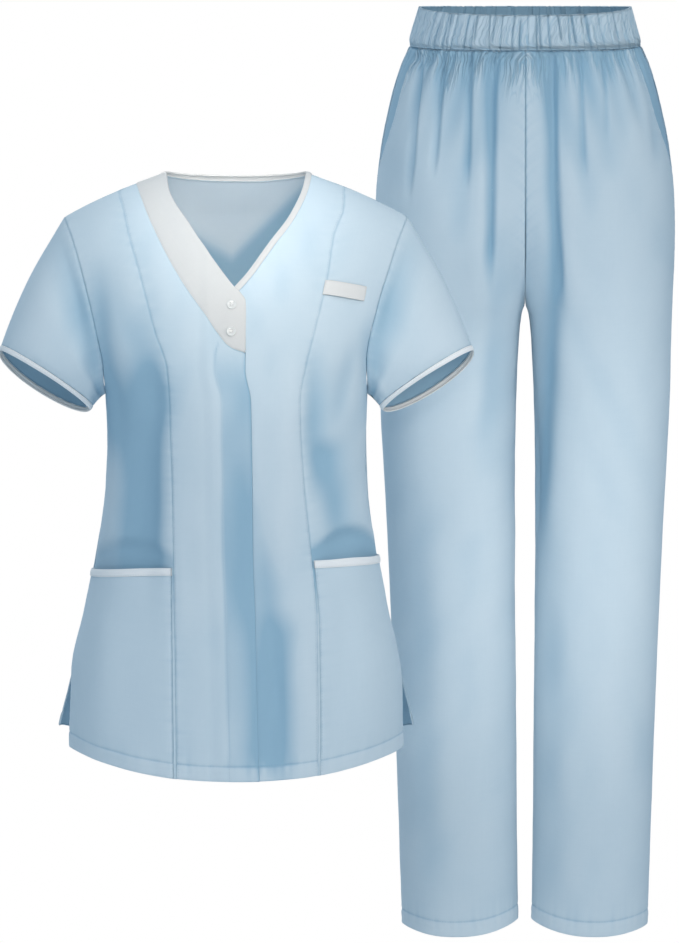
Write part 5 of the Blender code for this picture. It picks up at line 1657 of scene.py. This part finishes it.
    def button_thread(self, name: str, holes: Sequence[Vector], face: float) -> Object:
        """Thread over a button in two bars, each of several strands from hole to hole.

        Args:
            name: Name of the piece.
            holes: Middles of the holes.
            face: Height of the button's dished face.

        Returns:
            The thread.
        """
        corners, faces, sides, steps, radius = [], [], 6, 8, 0.00016
        for first, second in ((holes[0], holes[1]), (holes[3], holes[2])):
            run = (second - first).normalized()
            aside = Vector((-run.y, run.x, 0.0))
            for strand in (-0.00026, 0.0, 0.00026):
                start = len(corners)
                for share in np.linspace(0.0, 1.0, steps + 1):
                    spot = first.lerp(second, float(share)) + aside * strand
                    spot.z = face + 0.0003 * math.sin(math.pi * share) - 0.001 * (abs(2.0 * share - 1.0) ** 8)
                    for turn in np.arange(sides) * 2.0 * math.pi / sides:
                        up = Vector((0.0, 0.0, math.sin(turn) * radius))
                        corners.append(spot + aside * math.cos(turn) * radius + up)
                faces += index_quads(steps + 1, sides, start, False, True).tolist()
                faces.append([start + k for k in range(sides)][::-1])
                faces.append([start + steps * sides + k for k in range(sides)])
        return smooth_piece(name, corners, faces)


# ---- trousers

# Longest folds that fall from the waist seam, which the solids have too. across is how far round from the side
# seam they lie, in degrees, and up is the height.
LONG_FOLDS = {
    Face.FRONT: ((38.0, 5.0, -0.004, 0.13), (52.0, 5.5, -0.0035, 0.15),
                 (65.0, 5.5, -0.0045, 0.18), (80.0, 6.5, -0.005, 0.26)),
    Face.BACK: ((28.0, 5.5, -0.0035, 0.12), (46.0, 6.0, -0.0045, 0.17),
                (64.0, 6.0, -0.004, 0.14), (81.0, 6.0, -0.004, 0.15)),
}

# Creases of each panel: across is the distance from the middle of the trousers, up is the height.
LEG_CREASES = {
    (Face.FRONT, Side.RIGHT): (
        (37, -2, 38, -245, 3.6, -6.6, 0.45, 1, 0.3), (62, -2, 64, -140, 2.4, -4.2, 0.4, 1, 0.3),
        (93, -2, 100, -130, 2.2, -3.4, 0.4, 1, 0.3), (117, -2, 127, -150, 2.2, -3.6, 0.4, 1, 0.3),
        (50, -60, 56, -230, 11, 1.8, 1, 2, 0.6), (30, -200, 42, -420, 16, -2.6, 1.4, 4, 0.6),
        (100, -150, 90, -340, 20, 1.4, 1, 4, 0.6), (120, -520, 110, -900, 18, -1.6, 1, 4, 0.6),
        (40, -560, 45, -860, 16, 1.2, 1, 0, 0.6),
    ),
    (Face.FRONT, Side.LEFT): (
        (31, -2, 38, -260, 10, -7.4, 2.7, 2, 0.3), (31, -230, 13, -540, 11, -6, 1, 0, 0.5),
        (63, -2, 66, -130, 5, -3.4, 2.2, 1, 0.3), (89, -2, 91, -90, 4, -2.2, 2, 0, 0.4),
        (128, -20, 145, -120, 6, -2, 1, -4, 0.5), (50, -60, 52, -250, 9, 1.6, 1, 2, 0.6),
        (90, -160, 105, -330, 22, 1.2, 1, -4, 0.6), (30, -600, 32, -900, 14, -1.6, 1, 2, 0.6),
        (100, -560, 90, -880, 20, 1.2, 1, 0, 0.6),
    ),
    (Face.BACK, Side.RIGHT): (
        (26, -2, 33, -190, 4.6, -3.2, 1.6, 2, 0.3), (64, -2, 58, -160, 4, -2.8, 1.6, 1, 0.3),
        (98, -2, 96, -120, 3.6, -2.2, 1.6, 1, 0.3), (30, -270, 100, -330, 11, -2.6, 1.4, -8, 0.6),
        (48, -200, 56, -420, 15, -2, 1, 4, 0.6), (86, -480, 80, -860, 18, -1.6, 1, 4, 0.6),
    ),
    (Face.BACK, Side.LEFT): (
        (24, -2, 30, -170, 4.4, -3, 0.6, 2, 0.3), (58, -2, 64, -180, 4.2, -3, 0.7, 1, 0.3),
        (101, -2, 100, -110, 3.4, -2.2, 0.7, 1, 0.3), (36, -265, 108, -340, 12, -2.4, 1.4, -8, 0.6),
        (52, -210, 48, -440, 15, -2, 1, -4, 0.6), (78, -500, 86, -860, 18, 1.4, 1, 4, 0.6),
    ),
}


class TrousersForm:
    """Filled-out trousers. One leg and its half of the hips are a tube, cut where it meets the other leg."""

    def middle(self, height: Array) -> Line:
        """Middle and half width of the tube."""
        outer, inner = LEG.at(height, "outer"), LEG.at(height, "inner")
        return (outer + inner) / 2.0, (outer - inner) / 2.0

    def bare_point(self, face: Face, angle: Array, height: Array) -> Array:
        """Points of the left leg's smooth form. Angle 0 is the side seam and pi the inseam."""
        angle, height = np.broadcast_arrays(np.asarray(angle, float), np.asarray(height, float))
        middle, half = self.middle(height)
        power = 2.0 / LEG.at(height, "square")
        depth = LEG.at(height, "front" if face is Face.FRONT else "back")
        y = depth * signed_power(np.sin(angle), power) + SEAM_GAP / 2.0
        return np.stack((middle + half * signed_power(np.cos(angle), power), face.value * y, height), axis=-1)

    def normal(self, face: Face, angle: Array, height: Array) -> Array:
        """Normals of the form."""
        place = self.bare_point(face, angle, height)
        outward = place - np.stack((self.middle(place[..., 2])[0], 0.0 * place[..., 1], place[..., 2]), axis=-1)
        return form_normal(lambda a, h: self.bare_point(face, a, h), angle, height, outward)

    def centre_angle(self, height: Array) -> Array:
        """Angle of the inseam, or of the centre seam above the crotch."""
        middle, half = self.middle(height)
        reach = (middle - SEAM_GAP / 2.0) / half
        turn = np.pi - np.arccos(np.clip(reach, 0.0, 1.0) ** (LEG.at(height, "square") / 2.0))
        return np.where(reach >= 1.0, np.pi, turn)

    def gather(self, face: Face, angle: Array, height: Array) -> Array:
        """Height of the gathers and long folds over the smooth form, as the solids have them."""
        below, turn = np.maximum(0.0, -height), np.degrees(angle)
        pitch = np.degrees(self.centre_angle(height)) / GATHERS_PER_QUARTER
        folds = [((i + 0.5) * pitch, pitch * 0.33, -GATHER_DEPTH,
                  mix(*GATHER_REACH, (i * i * 0.37 + (0.2 if face is Face.FRONT else 0.6)) % 1.0))
                 for i in range(GATHERS_PER_QUARTER)]
        return sum(depth * bell(turn - place, width) * (1.0 - smooth_step(below / reach))
                   for place, width, depth, reach in (*folds, *LONG_FOLDS[face]))

    def hem(self, angle: Array) -> Array:
        """Height of the leg's hem, which dips at the front and the back."""
        level, tilt, dip = LEG_HEM
        return level - tilt * np.cos(angle) - dip * np.sin(angle) ** 2


TROUSERS_FORM = TrousersForm()


@dataclass
class Trousers(Garment):
    """Trousers: two fronts, two backs, the cloth behind the slanted pocket mouths, and the gathered waistband."""

    columns: int = 184
    lower_rows: int = 44
    upper_rows: int = 27
    seam_depth: float = 0.0007
    fine_gathers: int = 30
    band_pleats: int = 78
    pleats_reach: tuple[float, float] = (0.03, 0.09)
    band_columns: int = 900
    # Painted shade that darkens the waistband evenly.
    band_painted_shade: float = 0.0012
    # Painted shade on the cloth behind the pocket mouths.
    facing_painted_shade: float = 0.006
    crotch: float = -0.267
    tuck_in: float = 0.0066
    tuck_up: float = 0.004

    def build(self) -> None:
        """Builds and dresses every piece of the trousers."""
        for side in Side:
            for face in Face:
                self.leg(face, side)
            self.pocket_facing(side)
        self.waistband()

    def mouth_angle(self, face: Face, height: Array) -> Array:
        """Angle at which a panel starts: the side seam, or on the front the slanted pocket mouth."""
        return np.radians(POCKET_MOUTH.at(height, "turn")) * (face is Face.FRONT)

    def placed(self, points: Array, side: Side) -> Array:
        """Points of a leg on its own side, where the trousers stand."""
        return points * (side.value, 1.0, 1.0) + TROUSERS_PLACE

    def relief(self, face: Face, side: Side, angle: Array, place: Array, even: bool = False) -> Array:
        """Height of all gathers, folds and creases over the smooth form.

        Args:
            face: Front or back.
            side: Side of the wearer.
            angle: Angles round the leg.
            place: Points of the smooth form there.
            even: Whether the folds run on past the seams and the fine gathers are deeper, as the painted shade has
                them.

        Returns:
            Height at each place.
        """
        across, height = np.abs(place[..., 0]), place[..., 2]
        centre, below = TROUSERS_FORM.centre_angle(height), np.maximum(0.0, -height)
        calm = smooth_step(angle / 0.15) * smooth_step((centre - angle) / 0.15)
        total = creased(LEG_CREASES[(face, side)], across, height) * (1.0 if even else calm)
        total += TROUSERS_FORM.gather(face, angle, height)
        draw = np.random.RandomState(200 + 2 * face.value + side.value)
        for i in range(self.fine_gathers):
            spot = (i + 0.5 + draw.uniform(-0.35, 0.35)) / self.fine_gathers
            reach, width = draw.uniform(0.016, 0.062), draw.uniform(0.006, 0.0105)
            lean, depth = draw.uniform(-0.25, 0.25), draw.uniform(0.0012, 0.0032)
            away = np.abs(angle / centre - spot - lean * below) / width
            total -= depth * np.exp(-(away**1.6)) * (1.0 - smooth_step(below / reach)) * (1.7 if even else 1.0)
        if not even:
            total = total * mix(0.45, 1.0, smooth_step(below / 0.014)) - 0.0022 * bell(below, 0.0022)
        return total + rumple(across, height, 0.0008, 210 + 2 * face.value + side.value) * calm

    def surface(self, face: Face, side: Side, angle: Array, height: Array, lift: float = 0.0) -> Array:
        """Points of a panel's cloth where the trousers stand."""
        place = TROUSERS_FORM.bare_point(face, angle, height)
        rise = self.relief(face, side, angle, place) + lift
        return self.placed(place + TROUSERS_FORM.normal(face, angle, height) * rise[..., None], side)

    def leg(self, face: Face, side: Side) -> None:
        """Front or back of one leg, from the hem to the waist seam, whose edge is tucked in under the waistband.

        Args:
            face: Front or back.
            side: Side of the wearer.
        """
        share = crowded(self.columns, 0.55)
        rows = [TROUSERS_FORM.hem(share * np.pi) + step for step in HEM_STEPS]
        rows += ladder(rows[-1], KNEE_TO_CROTCH, self.lower_rows)
        levels = np.concatenate((
            np.linspace(KNEE_TO_CROTCH, CROTCH_TO_WAIST[0], self.upper_rows)[1:],
            np.linspace(*CROTCH_TO_WAIST, 44)[1:],
            CROTCH_TO_WAIST[1] * (1.0 - np.sin(np.linspace(0.0, np.pi / 2.0, 15)[1:])),
        ))
        rows += [np.full(len(share), level) for level in levels]
        height = np.minimum(np.stack(rows), -VISIBLE_GAP)
        angle = mix(self.mouth_angle(face, height), TROUSERS_FORM.centre_angle(height), share[None])
        # The folds and gathers, deeper and running on past the seams, set the leg's painted shade.
        depth = self.relief(face, side, angle, TROUSERS_FORM.bare_point(face, angle, height), True)
        points = [self.surface(face, side, angle, height)]
        for level in (-6.0 * VISIBLE_GAP, self.tuck_up):
            top = np.full(len(share), level)
            inward = TROUSERS_FORM.normal(face, angle[-1], top) * -self.tuck_in
            points.append(self.placed(TROUSERS_FORM.bare_point(face, angle[-1], top) + inward, side)[None])
        angle, height, depth = (np.concatenate((rows, rows[-1:], rows[-1:])) for rows in (angle, height, depth))
        base = oriented(np.concatenate(points), TROUSERS_PLACE + (side.value * 0.08, 0.0, -0.5), relief=depth)
        # How finely the top of the leg is pleated: bumps in the cloth, and painted shade in their furrows.
        wander = 0.5 + 0.25 * np.sin(angle * 9.0 + side.value) + 0.25 * np.sin(angle * 23.0 + 2.0 * face.value)
        slack = 0.45 if (face, side) == (Face.FRONT, Side.LEFT) else 0.9
        pleated = mix(0.9, slack, smooth_step((np.pi / 2.0 - angle) / 0.5 + 0.5))
        base.gather = pleated * (1.0 - smooth_step(-height / mix(*self.pleats_reach, wander)))
        seed = 220 + 4 * side.value + face.value
        relief = dips(base, self.seam_depth, self.seam_depth, seed=seed) + hem_relief(base, seed)
        relief *= 1.0 - bell(height - self.crotch, 0.032) * (base.to_end < 0.008)
        cloth = base.raised(relief - 0.0009 * bell(height, 0.002), SEAM_SHADE)
        lines = [cloth.row_line(HEM_STITCH)]
        if face is Face.FRONT:
            line, facing = cloth.column_line(0.0055)
            mouth = line[:, 2] > TROUSERS_PLACE[2] - 0.15
            lines.append((line[mouth], facing[mouth]))
        self.finish(f"{face.name.lower()}_leg_{side.word}", cloth, lines, hem_wall(base))

    def pocket_facing(self, side: Side) -> None:
        """Cloth behind the slanted pocket mouth.

        Args:
            side: Side of the wearer.
        """
        height = np.linspace(-0.138, -VISIBLE_GAP, 60)[:, None]
        mouth = self.mouth_angle(Face.FRONT, height)
        end = mouth + (TROUSERS_FORM.centre_angle(height) - mouth) / GATHERS_PER_QUARTER
        angle = mix(0.0004, end, np.linspace(0.0, 1.0, 30)[None])
        points = self.surface(Face.FRONT, side, angle, np.broadcast_to(height, angle.shape), -0.0014)
        base = oriented(points, TROUSERS_PLACE + (side.value * 0.08, 0.0, -0.1))
        cloth = base.raised(dips(base, self.seam_depth, 0.0, high=0.0006, seed=240 + side.value))
        # Painted shade: the facing is darkened evenly.
        cloth.relief = -self.facing_painted_shade
        self.finish(f"pocket_facing_{side.word}", cloth)

    def waistband(self) -> None:
        """Elastic casing round the waist, drawn into uneven pleats."""
        turn = np.linspace(0.0, 2.0 * np.pi, self.band_columns + 1)[None]
        up = crowded(30, 0.55)[:, None]
        height = mix(-20.0 * VISIBLE_GAP, BAND_TOP_SIDE - BAND_TOP_DIP * np.abs(np.sin(turn)), up)
        folded = np.where(turn <= np.pi, turn, 2.0 * np.pi - turn)
        front, back = (TROUSERS_FORM.bare_point(face, folded, height) for face in Face)
        points = np.where((turn < np.pi)[..., None], front, back)
        smooth = oriented(points + TROUSERS_PLACE, TROUSERS_PLACE + (0.0, 0.0, 0.02), True)
        girth = smooth.across / smooth.across[:, -1:]
        relief = np.full(girth.shape, 0.0006)
        draw = np.random.RandomState(250)
        for i in range(self.band_pleats):
            spot = (i + 0.5 + draw.uniform(-0.38, 0.38)) / self.band_pleats
            lean, width = draw.uniform(-0.004, 0.004), draw.uniform(0.0011, 0.0024)
            depth, bow = draw.uniform(0.0018, 0.0042), draw.uniform(-0.001, 0.001)
            low, high = draw.uniform(-1.2, 0.2), draw.uniform(0.85, 2.4)
            away = (girth - spot - lean * (up - 0.5) - bow * np.sin(np.pi * up) + 0.5) % 1.0 - 0.5
            flank = np.where(away > 0.0, width, width * draw.uniform(0.5, 1.0))
            ends = smooth_step((up - low) / 0.25) * smooth_step((high - up) / 0.25)
            relief -= depth * ends * np.exp(-np.abs(away / flank) ** 1.7)
        relief += 0.0005 * np.sin(girth * 2.0 * np.pi * 47.0 + 3.0 * np.sin(girth * 31.0) + up)
        relief *= 0.55 + 0.45 * smooth_step(up / 0.12) * smooth_step((1.06 - up) / 0.1)
        relief -= 0.0016 * bell(up, 0.1)
        cloth = smooth.raised(relief)
        # Painted shade: the pleats and an even amount darken the band, and its inner side is painted in full shade.
        cloth.relief, cloth.gather = relief - self.band_painted_shade, 0.45
        wall = BAND_WALL + np.maximum(relief, -0.001)
        self.finish("waistband", cloth, [cloth.row_line(0.0014)], wall, 1.0)


# ---- studio


@dataclass(frozen=True)
class Lamp:
    """Soft light: a disk of a size in metres that faces the scrubs, or a spot of a cone in degrees on a target."""

    name: str
    place: Point
    size: float
    power: float
    colour: Point
    target: Point | None = None

    def build(self, middle: Point) -> None:
        """Builds the light, which faces the middle if it has no target of its own."""
        data = bpy.data.lights.new(self.name, "SPOT" if self.target else "AREA")
        data.energy, data.color = self.power, self.colour
        if self.target:
            data.spot_size, data.spot_blend, data.shadow_soft_size = math.radians(self.size), 1.0, 0.12
        else:
            data.shape, data.size = "DISK", self.size
        aim(new_object(self.name, data), Vector(self.place), Vector(self.target or middle) - Vector(self.place))


def aim(thing: Object, place: Vector, direction: Vector) -> None:
    """Sets where a light or camera stands and the direction it faces."""
    thing.location = place
    thing.rotation_mode = "QUATERNION"
    thing.rotation_quaternion = direction.to_track_quat("-Z", "Y")


LAMPS = (
    Lamp("front_light", (0.6, -3.2, 0.9), 0.9, 9.0, (1.0, 0.94, 0.88)),
    Lamp("key_light", (2.6, -2.3, 1.1), 1.0, 26.0, (1.0, 0.92, 0.84)),
    Lamp("top_light", (0.1, -1.7, 2.8), 1.5, 17.0, (1.0, 0.92, 0.84)),
    Lamp("chest_light", (0.05, -2.6, 0.55), 11.5, 90.0, (1.0, 0.905, 0.80), (0.0, 0.0, -0.07)),
    Lamp("neck_light", (0.02, -2.6, 0.30), 3.5, 400.0, (0.90, 0.955, 1.0), (0.0, 0.0, -0.008)),
    Lamp("legs_light", (0.8, -3.0, -0.2), 12.0, 84.0, (1.0, 0.94, 0.88), (0.37, 0.1, -0.38)),
    Lamp("low_light", (-0.5, -3.0, -1.1), 1.2, 10.0, (1.0, 0.98, 0.95)),
    Lamp("fill_light", (-2.6, -2.4, 0.9), 2.4, 8.0, (0.92, 0.96, 1.0)),
    Lamp("back_light", (-1.2, 3.0, 2.0), 1.6, 40.0, (1.0, 0.99, 0.97)),
)


@dataclass
class Studio:
    """Pale floor, soft lights and the camera."""

    lens: float = 1199.0
    distance: float = 34.5
    elevation: float = 4.0
    centre: Point = (0.1133, 0.0, -0.3258)
    floor_height: float = -1.25
    floor_half: float = 3.0
    ambient: Point = (0.55, 0.785, 1.0)
    ambient_strength: float = 0.43

    def build(self) -> None:
        """Builds the floor, the surroundings, the lights and the camera."""
        self.floor()
        self.surroundings()
        for lamp in LAMPS:
            lamp.build(self.centre)
        self.camera()

    def floor(self) -> None:
        """Plain pale floor."""
        corners = [(x * self.floor_half, y * self.floor_half, self.floor_height)
                   for x, y in ((-1, -1), (1, -1), (1, 1), (-1, 1))]
        floor = smooth_piece("studio_floor", corners, [(0, 1, 2, 3)])
        pale, tree, shader = new_material("pale_floor")
        tree.fill(shader, Base_Color=(0.86, 0.87, 0.88, 1.0), Roughness=0.9)
        floor.data.materials.append(pale)

    def surroundings(self) -> None:
        """White surroundings that light the cloth with a softer, cooler light than they show."""
        world = bpy.data.worlds.new("studio")
        bpy.context.scene.world = world
        world.use_nodes = True
        world.node_tree.nodes.clear()
        g = ShaderTree(world.node_tree)
        seen = g.node("LightPath").outputs["Is Camera Ray"]
        lighting = g.node("Background", Color=(*self.ambient, 1.0), Strength=self.ambient_strength)
        shown = g.node("Background", Color=(1.0, 1.0, 1.0, 1.0))
        pick = g.node("MixShader")
        for socket, source in zip(pick.inputs, (seen, lighting.outputs[0], shown.outputs[0])):
            g.feed(socket, source)
        g.node("OutputWorld", Surface=pick.outputs[0])

    def camera(self) -> None:
        """Camera with a long lens, a little above the middle of the scrubs."""
        data = bpy.data.cameras.new("studio_camera")
        data.lens, data.sensor_width, data.clip_end = self.lens, 36.0, 400.0
        camera = new_object("studio_camera", data)
        rise = math.radians(self.elevation)
        back = Vector((0.0, -math.cos(rise), math.sin(rise)))
        aim(camera, Vector(self.centre) + back * self.distance, -back)
        bpy.context.scene.camera = camera
        bpy.context.scene.view_settings.view_transform = "Standard"


def main() -> None:
    """Builds the studio, the top and the trousers."""
    logging.basicConfig(level=logging.INFO, format="%(name)s: %(message)s", stream=sys.stdout)
    for maker in (Studio(), Top(), Trousers()):
        LOG.info("making %s", type(maker).__name__.lower())
        maker.build()


if __name__ == "__main__":
    main()
